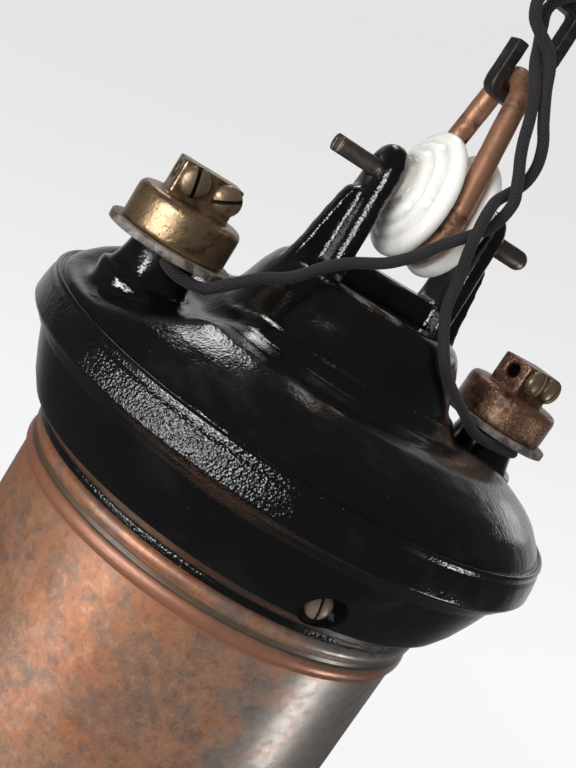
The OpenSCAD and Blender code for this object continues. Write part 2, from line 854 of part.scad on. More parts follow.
// Socket of the lower carbon with the seat of the inner globe
module lower_holder() {
    color(brass) hung()
        difference() {
            union() {
                translate([0, 0, yoke_z - 12]) cylinder(r = 6, h = 16);
                translate([0, 0, yoke_z + 3]) cylinder(r = 29, h = 4);
                translate([0, 0, yoke_z + 6]) cylinder(r = 12, h = 24);
            }
            translate([0, 0, yoke_z + 8]) cylinder(r = carbon_r + 0.05, h = 30);
            translate([0, 0, yoke_z + 20]) rotate([90, 0, 0]) cylinder(r = 2.05, h = 20);
        }
}

module holder_screw() {
    color(steel) hung()
        translate([0, -17, yoke_z + 20]) round_screw(4, 3, 2, 17 - carbon_r - 0.2);
}

module lower_carbon() {
    color(carbon_black) hung()
        translate([0, 0, yoke_z + 8]) cylinder(r = carbon_r, h = arc_z - 0.4 - yoke_z - 8);
}

module inner_globe() {
    top = floor_z - floor_t - 10;
    low = yoke_z + 7;
    color(opal, 0.4) hung()
        rotate_extrude()
            polygon([[26, low], [28, low], [28, top], [26, top]]);
}

// Outer globe: a necked pear of glass, closed below
module outer_globe() {
    neck_low = collar_bottom - 2;
    belly = globe_low + globe_r;
    outer = concat(
        [[neck_r, globe_top - 4], [neck_r, neck_low]],
        arc_points(globe_r - 30, belly + 20, 30, 62, 0, 6),
        arc_points(0, belly, globe_r, 0, -84, 12),
        [[0, belly - globe_r]]
    );
    inner = concat(
        [[0, belly - globe_r + glass_t]],
        arc_points(0, belly, globe_r - glass_t, -84, 0, 12),
        arc_points(globe_r - 30, belly + 20, 30 - glass_t, 0, 62, 6),
        [[neck_r - glass_t, neck_low], [neck_r - glass_t, globe_top], [neck_r + 2.5, globe_top],
            [neck_r + 2.5, globe_top - 4]]
    );
    color(opal, 0.4) hung() rotate_extrude() polygon(concat(outer, inner));
}

module globe_screws() {
    color(brass) hung()
        for (a = globe_screw_angles)
            rotate([0, 0, a]) {
                x_cylinder(3, neck_r + 0.3, 78, globe_screw_z);
                x_cylinder(7.5, 76, 82, globe_screw_z);
            }
}

module left_cord() {
    color(cloth_black) hung() swept_tube(left_route, cord_d / 2, 8);
}

module right_cord() {
    color(cloth_black) hung() swept_tube(right_route, cord_d / 2, 8);
}

suspension_hook();
cord_tie();
hanger_loop();
hanger_pin();
porcelain_spool();
top_cap();
left_terminal();
right_terminal();
terminal_washers();
terminal_bushings();
terminal_studs();
terminal_nuts();
left_clamp_screws();
right_clamp_screws();
copper_case();
case_screws();
base_casting();
side_rods();
rod_nuts();
top_plate();
carbon_tube();
magnet_top_plate();
magnet_bottom_plate();
plate_nuts();
coil_bobbin();
coil_winding();
armature();
lift_yoke();
clutch();
dashpot_cylinder();
dashpot_piston();
upper_carbon();
carbon_cap();
ballast_core();
ballast_wire();
ballast_bolt();
trip_bush();
gas_cap();
frame_rods();
lower_yoke();
lower_holder();
lower_carbon();
holder_screw();
inner_globe();
outer_globe();
globe_screws();
left_cord();
right_cord();
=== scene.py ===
"""Dresses the suspended arc street lamp: shapes, finishes, stage and camera."""
import math

import bmesh
import bpy
from mathutils import Matrix, Vector, noise


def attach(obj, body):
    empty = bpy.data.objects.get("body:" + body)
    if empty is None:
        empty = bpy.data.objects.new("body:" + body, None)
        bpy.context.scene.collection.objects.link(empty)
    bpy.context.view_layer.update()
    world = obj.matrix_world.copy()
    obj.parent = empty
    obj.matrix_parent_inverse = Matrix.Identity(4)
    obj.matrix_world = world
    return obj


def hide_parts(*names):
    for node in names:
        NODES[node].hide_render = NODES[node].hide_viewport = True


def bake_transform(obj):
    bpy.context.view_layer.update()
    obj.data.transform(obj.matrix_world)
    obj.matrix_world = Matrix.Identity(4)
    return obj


bl_info = {
    "name": "Suspended Arc Street Lamp",
    "version": (1, 0, 0),
    "blender": (4, 5, 0),
    "location": "3D View > Sidebar > Street Lamp",
    "description": "Makes the visible pieces of the suspended street lamp over its CAD frame",
    "category": "Object",
}

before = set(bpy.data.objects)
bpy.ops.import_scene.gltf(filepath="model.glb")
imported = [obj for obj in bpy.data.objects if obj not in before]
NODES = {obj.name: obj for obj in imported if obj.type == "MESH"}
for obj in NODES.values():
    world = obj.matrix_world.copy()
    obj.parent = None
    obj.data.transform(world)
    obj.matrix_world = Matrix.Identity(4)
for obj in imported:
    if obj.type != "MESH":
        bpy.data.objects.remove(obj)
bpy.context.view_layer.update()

MM = 0.001

# Heights, in millimetres above the fine raised line on the cap
EYE = 205.0
CORD_CUT = 206.0
WHIPPING = 188.1
LOOP_TOP = 137.3
CORD_PART = 121.0
PIN = 92.4
WIRE_LEVEL = 54.5
WASHER_TOP = 31.3
BOSS_TOP = 28.3
SCREW_LEVEL = -36.4
LIP = -50.4
CASE_LOW = -326.4
NUT_LEVEL = CASE_LOW - 14.4
THUMB_LEVEL = CASE_LOW - 30
COLLAR = CASE_LOW - 40
BELLY = CASE_LOW - 155

# Radii and other sizes, in millimetres
RIM = 112.5
CASE = 86.5
SHEET = 1.2
TERMINAL = 81.0
WASHER = 24.4
STUD_HOLE = 4.55
CLAMP_HALF = 6.5
CLAMP_SHIFT = 0.8
CLAMP_FRONT = 7.8
SCREW_SEAT = CASE + 5.6
SIDE_ROD = 64
THUMB_REACH = 82
GROOVE = 20.5
LOOP_BEND = 10.5
SPOOL_HALF = 21.5
GLOBE = 90
GLASS = 3
SHOULDER = 60

# Place along X in millimetres, turn in degrees and metal of each terminal
TERMINALS = {"left": (-TERMINAL, -4.0, "brass"), "right": (TERMINAL, 22.0, "bronze")}
SCREW_ANGLES = (-92.0, 28.0, 148.0)


# Sizes and colours

def length(name, description, default, low, high):
    return bpy.props.FloatProperty(
        name=name, description=description, default=default, min=low, max=high, unit="LENGTH")


def colour(name, description, value):
    return bpy.props.FloatVectorProperty(
        name=name, description=description, subtype="COLOR", size=3,
        min=0.0, max=1.0, default=value)


class LampSizes(bpy.types.PropertyGroup):
    """Sizes of the finish, in metres."""

    cord: length("Conductor", "Diameter of each braided conductor", 0.0044, 0.0036, 0.0046)
    braid: length("Braid depth", "How far the braid's strands stand out", 0.0002, 0.0, 0.0004)
    casting: length("Casting grain", "Grid of the cast cap's surface", 0.00125, 0.0009, 0.003)
    rod: length("Hanger rod", "Diameter of the copper hanger rod", 0.0088, 0.007, 0.009)
    edge: length("Edge rounding", "Rounding of the split pin's edges", 0.0003, 0.0, 0.001)


class LampColours(bpy.types.PropertyGroup):
    """Colours of the finishes, scene linear."""

    enamel: colour("Enamel", "Black stove enamel of the castings", (0.0036, 0.0036, 0.0038))
    case: colour("Case copper", "Copper of the case where it is bare", (0.43, 0.225, 0.135))
    case_dark: colour("Case tarnish", "Brown tarnish of the case", (0.26, 0.160, 0.115))
    rod: colour("Rod copper", "Browned copper of the hanger rod", (0.43, 0.220, 0.135))
    brass: colour("Brass", "Golden brass of the left terminal", (0.42, 0.275, 0.150))
    bronze: colour("Bronze", "Redder metal of the right terminal", (0.43, 0.235, 0.145))
    porcelain: colour("Porcelain", "White glaze of the spool", (0.80, 0.79, 0.75))
    cloth: colour("Cotton", "Braided cotton of the conductors", (0.0125, 0.0112, 0.0125))
    fibre: colour("Fibre", "Pressed fibre of the washers", (0.19, 0.162, 0.140))
    iron: colour("Forged iron", "Dark forged iron of the hook", (0.052, 0.048, 0.045))
    steel: colour("Steel", "Dull steel of the pin and nuts", (0.40, 0.345, 0.295))
    backdrop: colour("Backdrop", "Pale paper behind the lamp", (0.775, 0.775, 0.775))


# Tones that the finishes lay over these colours, or use by themselves, scene linear
TONES = {
    "enamel dust": (0.0105, 0.0102, 0.009), "enamel speck": (0.12, 0.115, 0.10),
    "case rust": (0.43, 0.165, 0.070), "case brown fleck": (0.17, 0.090, 0.056),
    "case bright fleck": (0.58, 0.30, 0.170), "case bright grain": (0.56, 0.35, 0.235),
    "case grey": (0.27, 0.25, 0.225), "case dark grey": (0.15, 0.13, 0.115),
    "case warm grey": (0.36, 0.22, 0.155), "bead valley dark": (0.085, 0.070, 0.048),
    # hollow: near-black painted shade, partly grime, that the metal finishes put deep in slots and
    # holes
    "bead red": (0.36, 0.15, 0.085), "hollow": (0.010, 0.007, 0.005),
    "brass dark": (0.125, 0.070, 0.034), "bronze dark": (0.095, 0.048, 0.031),
    "screw": (0.38, 0.285, 0.185), "screw dark": (0.13, 0.085, 0.055),
    "worn screw": (0.27, 0.195, 0.15), "worn screw dark": (0.12, 0.065, 0.045),
    "rod dark": (0.105, 0.060, 0.042), "steel dark": (0.085, 0.066, 0.05),
    "step grey": (0.42, 0.39, 0.34), "hub_stain_and_shade": (0.13, 0.095, 0.065),
    "brown speck": (0.22, 0.18, 0.14), "iron grey": (0.125, 0.115, 0.105),
    "iron rust": (0.15, 0.085, 0.05), "fibre dark": (0.06, 0.047, 0.040),
    "fibre pale": (0.34, 0.31, 0.285), "rubbed cloth": (0.024, 0.021, 0.022),
    "painted strand highlight": (0.062, 0.055, 0.058), "fluff": (0.085, 0.076, 0.078),
    "wax": (0.075, 0.068, 0.062), "glass": (0.96, 0.98, 0.97), "opal": (0.78, 0.80, 0.80),
    "opal swirl": (0.70, 0.73, 0.74), "carbon": (0.018, 0.018, 0.019),
    "carbon mark": (0.045, 0.044, 0.046), "winding": (0.42, 0.16, 0.08),
    "winding film": (0.2, 0.07, 0.035), "resistance": (0.25, 0.24, 0.22),
    "resistance film": (0.12, 0.10, 0.08), "strand": (0.62, 0.30, 0.17),
    "strand film": (0.32, 0.15, 0.09), "floor": (0.80, 0.81, 0.82),
    "floor glow": (0.95, 0.95, 0.955), "floor dim": (0.03, 0.03, 0.031),
    "high background": (0.965, 0.965, 0.965),
}


def sizes():
    return bpy.context.scene.lamp_sizes


def tint(name):
    """A user's colour or a tone, by name."""
    return TONES.get(name) or tuple(getattr(bpy.context.scene.lamp_colours, name))


# Shapes

def level(z):
    """Height in the frame, in metres, of one above the raised line in millimetres."""
    return (z - EYE) * MM


def at(x, y, z):
    """Point in the frame, in metres, of lamp millimetres above the raised line."""
    return Vector((x, y, z - EYE)) * MM


def fresh(name, mesh=None):
    obj = bpy.data.objects.new(name, mesh or bpy.data.meshes.new(name))
    bpy.context.scene.collection.objects.link(obj)
    return obj


def solid(name, points, faces):
    mesh = bpy.data.meshes.new(name)
    mesh.from_pydata([tuple(p) for p in points], [], faces)
    mesh.validate()
    return fresh(name, mesh)


def edit(obj, work):
    mesh = bmesh.new()
    mesh.from_mesh(obj.data)
    work(mesh)
    mesh.to_mesh(obj.data)
    mesh.free()
    obj.data.update()
    return obj


def outward(obj):
    """Merges doubles and points the faces outwards."""
    def work(mesh):
        bmesh.ops.remove_doubles(mesh, verts=mesh.verts, dist=1e-7)
        bmesh.ops.recalc_face_normals(mesh, faces=mesh.faces)
    return edit(obj, work)


def arc(cx, cz, r, a0, a1, n):
    step = (a1 - a0) / n
    return [(cx + r * math.cos(math.radians(a0 + step * i)),
             cz + r * math.sin(math.radians(a0 + step * i))) for i in range(n + 1)]


def eased(outline, radius, steps, least=18.0, closed=True):
    """Rounds the corners of an outline that turn by more than least degrees."""
    count = len(outline)
    result = []
    for i, here in enumerate(outline):
        if not closed and i in (0, count - 1):
            result.append(here)
            continue
        a, b, c = Vector(outline[i - 1]), Vector(here), Vector(outline[(i + 1) % count])
        back, ahead = a - b, c - b
        if back.length < 1e-6 or ahead.length < 1e-6:
            continue
        turn = 180.0 - math.degrees(back.angle(ahead))
        if turn < least:
            result.append(tuple(b))
            continue
        reach = min(radius * math.tan(math.radians(turn) / 2),
                    back.length * 0.45, ahead.length * 0.45)
        p, q = b + back.normalized() * reach, b + ahead.normalized() * reach
        for k in range(steps + 1):
            t = k / steps
            result.append(tuple(p.lerp(b, t).lerp(b.lerp(q, t), t)))
    return result


def upright(x=0.0):
    """Turns round an upright axis of the lamp, at x."""
    return lambda r, h, a: at(x + r * math.cos(a), r * math.sin(a), h)


def on_pin(r, h, a):
    """Turns round the hanger pin."""
    return at(h, r * math.cos(a), PIN + r * math.sin(a))


def standing(r, h, a):
    """Turns round Z at the origin, for a piece that is set out later."""
    return Vector((r * math.cos(a), r * math.sin(a), h)) * MM


def lying(r, h, a):
    """Turns round Y at the origin, for a piece that is set out later."""
    return Vector((r * math.cos(a), h, r * math.sin(a))) * MM


def turned(name, outline, steps, closed=True, place=upright()):
    """Turned solid. The outline is (radius, height) in millimetres; open ones end on the axis."""
    points, faces, rings = [], [], []
    for r, h in outline:
        if r < 1e-6:
            rings.append([len(points)] * steps)
            points.append(place(0.0, h, 0.0))
        else:
            rings.append(list(range(len(points), len(points) + steps)))
            points.extend(place(r, h, 2 * math.pi * k / steps) for k in range(steps))
    pairs = list(zip(rings, rings[1:])) + ([(rings[-1], rings[0])] if closed else [])
    for low, high in pairs:
        for k in range(steps):
            n = (k + 1) % steps
            face = list(dict.fromkeys((low[k], low[n], high[n], high[k])))
            if len(face) > 2:
                faces.append(face)
    return outward(solid(name, points, faces))


def copied(name, node):
    """Copy of a CAD node's mesh with its doubles merged."""
    obj = fresh(name, NODES[node].data.copy())
    obj.data.materials.clear()
    return edit(obj, lambda mesh: bmesh.ops.remove_doubles(mesh, verts=mesh.verts, dist=2e-6))


def baked(obj):
    """Makes the result of the modifiers the object's own mesh."""
    graph = bpy.context.evaluated_depsgraph_get()
    graph.update()
    mesh = bpy.data.meshes.new_from_object(
        obj.evaluated_get(graph), preserve_all_data_layers=True, depsgraph=graph)
    obj.modifiers.clear()
    old = obj.data
    obj.data = mesh
    if old.users == 0:
        bpy.data.meshes.remove(old)
    mesh.name = obj.name
    return obj


def worked(obj, kind, **settings):
    """Applies one modifier with these settings."""
    modifier = obj.modifiers.new(kind.lower(), kind)
    for key, value in settings.items():
        setattr(modifier, key, value)
    return baked(obj)


def shaded(obj, angle):
    """Smooth shading, with edges sharp from this angle in degrees."""
    obj.data.shade_smooth()
    obj.data.set_sharp_from_angle(angle=math.radians(angle))
    return obj


def recast(obj, grid, passes):
    """Voxel remesh and smoothing, which gives the fillets of a casting or a forging."""
    worked(obj, "REMESH", mode="VOXEL", voxel_size=grid, use_smooth_shade=True)
    worked(obj, "SMOOTH", factor=0.5, iterations=passes)
    obj.data.shade_smooth()
    return obj


def bevelled(obj, width, angle):
    """Bevels the edges that turn by more than angle degrees."""
    return worked(obj, "BEVEL", width=width, segments=2, limit_method="ANGLE",
                  angle_limit=math.radians(angle))


def softened(name, node):
    """Copy of a CAD node with its hard edges bevelled."""
    obj = copied(name, node)
    edit(obj, lambda mesh: bmesh.ops.dissolve_limit(
        mesh, angle_limit=math.radians(0.6), verts=mesh.verts, edges=mesh.edges))
    return shaded(bevelled(obj, sizes().edge, 40.0), 50.0)


def carved(obj, operation, *tools):
    """Takes the tools out of obj, or keeps what lies in them, then removes them."""
    for tool in tools:
        worked(obj, "BOOLEAN", operation=operation, solver="MANIFOLD", object=tool)
        bpy.data.objects.remove(tool)
    return obj


def crosswise(along):
    """Two directions square to this one and to each other."""
    side = along.orthogonal().normalized()
    return side, along.cross(side)


def round_bar(name, start, end, radius, steps):
    """Plain round bar, used as a cutting tool."""
    side, over = crosswise((end - start).normalized())
    points = []
    for centre in (start, end):
        for k in range(steps):
            a = 2 * math.pi * k / steps
            points.append(centre + radius * (math.cos(a) * side + math.sin(a) * over))
    faces = [[k, (k + 1) % steps, steps + (k + 1) % steps, steps + k] for k in range(steps)]
    faces += [list(range(steps))[::-1], list(range(steps, 2 * steps))]
    return outward(solid(name, points, faces))


def tube_faces(rings, sides, closed=False):
    """Quads between rings of points that follow each other."""
    return [(i * sides + k, j * sides + k, j * sides + n, i * sides + n)
            for i, j in ((i, (i + 1) % rings) for i in range(rings if closed else rings - 1))
            for k, n in ((k, (k + 1) % sides) for k in range(sides))]


def smooth_step(value, low, high):
    t = min(1.0, max(0.0, (value - low) / (high - low)))
    return t * t * (3.0 - 2.0 * t)


def pushed(obj, reach):
    """Moves each point along its normal by reach(place in millimetres), in metres."""
    mesh = obj.data
    normals = [v.normal.copy() for v in mesh.vertices]
    places = [v.co.copy() for v in mesh.vertices]
    moved = [p + n * reach(p * 1000) for p, n in zip(places, normals)]
    mesh.vertices.foreach_set("co", [c for p in moved for c in p])
    mesh.update()


def store_hole_shade(obj, depth):
    """Stores how far each point lies in a slot or hole, from 0 to 1, for the painted shade that the
    finish puts there.
    """
    store = obj.data.attributes.new("recess", "FLOAT", "POINT")
    store.data.foreach_set("value", [depth(v.co) for v in obj.data.vertices])


def joined(name, pieces):
    """One mesh of several pieces."""
    mesh = bmesh.new()
    for piece in pieces:
        mesh.from_mesh(piece.data)
    result = bpy.data.meshes.new(name)
    mesh.to_mesh(result)
    mesh.free()
    for piece in pieces:
        bpy.data.objects.remove(piece)
    return fresh(name, result)


def finished(obj, body, look, slot, *nodes):
    """Gives a piece its finish, hides the CAD nodes it replaces and hangs it on the body it rides
    on.
    """
    obj.data.materials.clear()
    obj.data.materials.append(finish(look))
    for face in obj.data.polygons:
        face.material_index = 0
    if nodes:
        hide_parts(*nodes)
    if body:
        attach(obj, body)
    return obj


def dressed(node, look):
    """Gives a carried-over CAD node its finish."""
    obj = NODES[node]
    if not obj.material_slots:
        obj.data.materials.append(finish(look))
    for place in obj.material_slots:
        place.material = finish(look)


# Finishes

class Wiring:
    """Short ways to wire a tree of nodes."""

    def __init__(self, tree):
        self.tree = tree

    def feed(self, socket, value):
        """Links a socket or sets a value. A colour is a name or three numbers."""
        if isinstance(value, bpy.types.NodeSocket):
            self.tree.links.new(value, socket)
        elif socket.type == "RGBA":
            socket.default_value = (*(tint(value) if isinstance(value, str) else value), 1.0)
        else:
            socket.default_value = value

    def node(self, kind, **inputs):
        node = self.tree.nodes.new(kind)
        for key, value in inputs.items():
            self.feed(node.inputs[key.replace("_", " ")], value)
        return node

    def maths(self, operation, a, b, kind="ShaderNodeMath"):
        node = self.tree.nodes.new(kind)
        node.operation = operation
        self.feed(node.inputs[0], a)
        self.feed(node.inputs[1], b)
        return node.outputs[0]

    def times(self, a, b):
        return self.maths("MULTIPLY", a, b)

    def plus(self, a, b):
        return self.maths("ADD", a, b)

    def most(self, a, b):
        return self.maths("MAXIMUM", a, b)

    def away(self, a, b):
        """Distance from where a and b are 0."""
        return self.maths("POWER", self.plus(self.times(a, a), self.times(b, b)), 0.5)

    def band(self, value, low, high, out_low=0.0, out_high=1.0):
        """Smooth step from out_low at low to out_high at high."""
        node = self.node("ShaderNodeMapRange", Value=value, From_Min=low, From_Max=high,
                         To_Min=out_low, To_Max=out_high)
        node.interpolation_type = "SMOOTHSTEP"
        return node.outputs["Result"]

    def stripe(self, value, start, full, fade, end):
        """1 between full and fade, and 0 before start and after end."""
        return self.times(self.band(value, start, full), self.band(value, end, fade))

    def layered(self, tone, *layers):
        """Tone with colours laid over it in turn, each as far as its mask says."""
        for mask, over in layers:
            node = self.tree.nodes.new("ShaderNodeMix")
            node.data_type = "RGBA"
            for place, value in ((0, mask), (6, tone), (7, over)):
                self.feed(node.inputs[place], value)
            tone = node.outputs[2]
        return tone

    def mixed(self, factor, first, second):
        """One shader where the factor is 0 and another where it is 1."""
        node = self.node("ShaderNodeMixShader", Fac=factor)
        self.feed(node.inputs[1], first.outputs[0])
        self.feed(node.inputs[2], second.outputs[0])
        return node


SOCKETS = {
    "colour": "Base Color", "rough": "Roughness", "metal": "Metallic", "normal": "Normal",
    "coat": "Coat Weight", "coat_rough": "Coat Roughness", "coat_normal": "Coat Normal",
    "sheen": "Sheen Weight", "sheen_rough": "Sheen Roughness", "specular": "Specular IOR Level",
    "clear": "Transmission Weight", "ior": "IOR", "under": "Subsurface Weight",
    "under_scale": "Subsurface Scale",
}


class Recipe(Wiring):
    """A finish and its nodes, all on Object coordinates unless a UV map is named."""

    def __init__(self, name, uv=None):
        self.material = bpy.data.materials.new(name)
        self.material.use_nodes = True
        super().__init__(self.material.node_tree)
        self.shader = self.tree.nodes["Principled BSDF"]
        if uv:
            node = self.node("ShaderNodeUVMap")
            node.uv_map = uv
            self.place = node.outputs["UV"]
        else:
            self.place = self.node("ShaderNodeTexCoord").outputs["Object"]

    def mapped(self, scale=(1, 1, 1), move=(0, 0, 0), turn=(0, 0, 0)):
        return self.node("ShaderNodeMapping", Vector=self.place, Scale=scale,
                         Location=move, Rotation=turn).outputs["Vector"]

    def noise(self, scale, detail=4.0, rough=0.55, twist=0.0, where=None):
        return self.node("ShaderNodeTexNoise", Vector=where or self.place, Scale=scale,
                         Detail=detail, Roughness=rough, Distortion=twist).outputs["Fac"]

    def cells(self, scale):
        return self.node("ShaderNodeTexVoronoi", Vector=self.place,
                         Scale=scale).outputs["Distance"]

    def specks(self, scale, size, edge, share, low, high):
        """Small round specks, where a slower noise lets them show."""
        return self.times(self.band(self.cells(scale), size, edge),
                          self.band(share, low, high))

    def xyz(self):
        return self.node("ShaderNodeSeparateXYZ", Vector=self.place).outputs[:3]

    def stored(self, name):
        """Value that the mesh stores under this name."""
        node = self.node("ShaderNodeAttribute")
        node.attribute_name = name
        return node.outputs["Fac"]

    def bump(self, height, strength, depth, under=None):
        node = self.node("ShaderNodeBump", Height=height, Strength=strength, Distance=depth)
        if under is not None:
            self.feed(node.inputs["Normal"], under)
        return node.outputs["Normal"]

    def set(self, **values):
        for key, value in values.items():
            self.feed(self.shader.inputs[SOCKETS[key]], value)
        return self.material


def enamel():
    """Glossy black stove enamel over sand-cast iron, grainier on the rim, lip and ears."""
    r = Recipe("black_enamel")
    x, _, z = r.xyz()
    sand = r.plus(r.times(r.cells(950.0), 0.55), r.times(r.noise(620.0, 3.0, 0.65), 0.8))
    dust = r.band(r.noise(34.0, 7.0, 0.68, 0.6), 0.52, 0.80)
    specks = r.specks(330.0, 0.09, 0.04, r.noise(60.0, 2.0), 0.52, 0.7)
    tone = r.layered("enamel", (dust, "enamel dust"), (r.times(specks, 0.8), "enamel speck"))
    rough = r.plus(r.band(r.noise(80.0, 5.0, 0.6, 0.8), 0.35, 0.7, 0.10, 0.22),
                   r.times(dust, 0.14))
    under = r.bump(r.noise(70.0, 3.0), 0.3, 0.0009)
    rim = r.times(r.stripe(z, level(-15.0), level(-12.0), level(-1.5), level(2.5)),
                  r.band(x, 0.0, -0.05, 0.10, 1.0))
    lip = r.band(z, level(-45.0), level(-47.0))
    ears = r.band(z, level(45.0), level(60.0), 0.0, 0.35)
    worn = r.times(r.band(r.noise(22.0, 4.0, 0.55, 0.5), 0.35, 0.65, 0.5, 1.0),
                   r.band(r.plus(r.most(rim, lip), ears), 0.0, 1.0, 0.22, 1.0))
    top = r.bump(r.times(sand, worn), 0.75, 0.0007, under)
    return r.set(colour=tone, rough=rough, normal=top, specular=0.5, coat=1.0,
                 coat_rough=0.06, coat_normal=top)


def case_copper():
    """Old copper sheet: rusty and mottled at the left, greyer and smoother to the right."""
    r = Recipe("case_copper")
    x, y, z = r.xyz()
    from_front = r.maths("ARCTAN2", x, r.times(y, -1.0))
    clouds = r.noise(20.0, 9.0, 0.70, 0.5)
    patches = r.noise(62.0, 9.0, 0.74, 0.5, where=r.mapped(move=(0.4, 0.1, 0.7)))
    fine = r.noise(620.0, 6.0, 0.75)
    flecks = r.noise(230.0, 9.0, 0.80, 0.3, where=r.mapped(move=(0.2, 0.9, 0.3)))
    side = r.stripe(r.plus(from_front, r.times(patches, 1.6)), 0.50, 1.05, 2.3, 3.1)
    grey = r.layered("case grey", (r.band(flecks, 0.42, 0.66), "case dark grey"),
                     (r.band(clouds, 0.56, 0.64, 0.0, 0.6), "case warm grey"))
    # Darker in the valley between the two beads
    hollow = r.stripe(z, level(-60.0), level(-59.0), level(-57.2), level(-56.2))
    bead = r.stripe(z, level(-66.8), level(-65.8), level(-60.2), level(-59.2))
    tone = r.layered(
        "case",
        (r.band(clouds, 0.40, 0.56), "case rust"),
        (r.band(patches, 0.47, 0.60, 0.0, 0.8), "case_dark"),
        (r.band(flecks, 0.50, 0.62, 0.0, 0.60), "case brown fleck"),
        (r.band(flecks, 0.48, 0.36, 0.0, 0.60), "case bright fleck"),
        (r.band(fine, 0.54, 0.74, 0.0, 0.50), "case bright grain"),
        (r.times(side, 0.92), grey),
        (r.times(hollow, 0.8), "bead valley dark"),
        (r.times(bead, r.band(patches, 0.35, 0.5, 0.45, 0.9)), "bead red"))
    rough = r.plus(r.band(side, 0.0, 1.0, 0.42, 0.24), r.band(flecks, 0.35, 0.7, 0.0, 0.10))
    under = r.bump(fine, 0.25, 0.00012, r.bump(r.noise(18.0, 2.0), 0.22, 0.0012))
    return r.set(colour=tone, rough=rough, metal=0.56, normal=under, coat=0.85, coat_rough=0.38,
                 coat_normal=under)


def aged_metal(name, bare, rough=0.40, metal=1.0, grime=0.5, scale=1.0, pits=0.3, sand=0.0,
               coat=0.0):
    """Handled metal: bright where it is rubbed, brown tarnish in patches, with fine scratches, and
    near-black painted shade deep in its slots and holes.
    """
    r = Recipe(name)
    dark = tint(bare + " dark")
    stain = r.noise(95.0 * scale, 7.0, 0.68, 0.7)
    fine = r.noise(420.0 * scale, 5.0, 0.65)
    mix = r.plus(r.times(stain, 0.7), r.times(fine, 0.3))
    tarnish = r.band(mix, 0.58 - 0.16 * grime, 0.70 - 0.10 * grime)
    spots = r.specks(520.0 * scale, 0.16, 0.07, r.noise(160.0 * scale, 2.0), 0.48, 0.62)
    # Painted shade, partly grime: near black deep in slots and holes, which are also made rougher
    painted_hole_shade = r.stored("recess")
    tone = r.layered(bare, (tarnish, dark), (r.times(spots, 0.8), [0.3 * c for c in dark]),
                     (r.times(painted_hole_shade, 0.92), "hollow"))
    gloss = r.plus(r.band(fine, 0.3, 0.75, rough - 0.08, rough + 0.10), r.times(tarnish, 0.14))
    gloss = r.plus(gloss, r.times(painted_hole_shade, 0.4))
    along = r.mapped(scale=(1.0, 9.0, 0.5), turn=(0.3, 0.2, 0.9))
    under = r.bump(r.noise(260.0, 2.0, 0.5, where=along), 0.12 * pits, 0.0002)
    under = r.bump(spots, -0.5 * pits, 0.0002, under)
    under = r.bump(r.noise(900.0 * scale, 3.0), 0.22 * pits, 0.00012, under)
    if sand:
        under = r.bump(r.noise(1300.0, 2.0, 0.6), sand, 0.0004, under)
    return r.set(colour=tone, rough=gloss, metal=metal, normal=under, coat=coat, coat_rough=0.30)


def porcelain():
    """White glaze with a grey film, a brown stain and painted shade round the hub near the ears,
    and darker rings over the steps.
    """
    r = Recipe("porcelain_glaze")
    _, y, z = r.xyz()
    away = r.away(y, r.maths("SUBTRACT", z, level(PIN)))
    film = r.band(r.noise(60.0, 5.0, 0.6, 0.4), 0.46, 0.75)
    smear = r.band(r.noise(240.0, 4.0, 0.65, where=r.mapped(scale=(1.0, 0.35, 0.35))), 0.42, 0.7)
    # Darker, greyer rings over the steps of the flanges
    steps = r.most(r.stripe(away, 0.0143, 0.0156, 0.0160, 0.0176),
                   r.stripe(away, 0.0190, 0.0204, 0.0208, 0.0226))
    # Brown stain and painted shade round the hub, where the ears stand close
    hub_stain_and_shade = r.times(r.band(away, 0.0140, 0.0100), r.band(smear, 0.0, 1.0, 0.45, 0.85))
    specks = r.specks(230.0, 0.09, 0.04, r.noise(90.0), 0.5, 0.6)
    tone = r.layered(
        "porcelain",
        (film, [c * k for c, k in zip(tint("porcelain"), (0.84, 0.83, 0.80))]),
        (r.times(steps, r.band(smear, 0.0, 1.0, 0.12, 0.42)), "step grey"),
        (hub_stain_and_shade, "hub_stain_and_shade"), (r.times(specks, 0.6), "brown speck"))
    return r.set(colour=tone, rough=r.band(film, 0.0, 1.0, 0.16, 0.32),
                 normal=r.bump(r.noise(130.0, 2.0), 0.10, 0.0004),
                 coat=0.5, coat_rough=0.10, under=0.12, under_scale=0.002)


def forged_iron():
    """Dark forged iron with brown and grey patches."""
    r = Recipe("forged_iron")
    patches = r.band(r.noise(75.0, 7.0, 0.68, 0.8), 0.45, 0.66)
    rust = r.band(r.noise(150.0, 6.0, 0.7, 0.4), 0.56, 0.72)
    tone = r.layered("iron", (patches, "iron grey"), (r.times(rust, 0.7), "iron rust"))
    under = r.bump(r.noise(110.0, 3.0), 0.5, 0.0006)
    under = r.bump(r.noise(520.0, 4.0, 0.6), 0.35, 0.0002, under)
    return r.set(colour=tone, rough=r.band(rust, 0.0, 1.0, 0.42, 0.62), metal=0.75, normal=under)


def fibre():
    """Grey pressed fibre, mottled dark and pale."""
    r = Recipe("pressed_fibre")
    flecks = r.noise(420.0, 5.0, 0.7)
    clouds = r.noise(170.0, 5.0, 0.65, 0.4)
    tone = r.layered("fibre", (r.band(clouds, 0.42, 0.60), "fibre dark"),
                     (r.band(flecks, 0.54, 0.70, 0.0, 0.7), "fibre pale"))
    layers = r.noise(900.0, 2.0, 0.5, where=r.mapped(scale=(0.05, 0.05, 1.6)))
    under = r.bump(flecks, 0.5, 0.0002, r.bump(layers, 0.3, 0.0002))
    return r.set(colour=tone, rough=0.42, normal=under, specular=0.5)


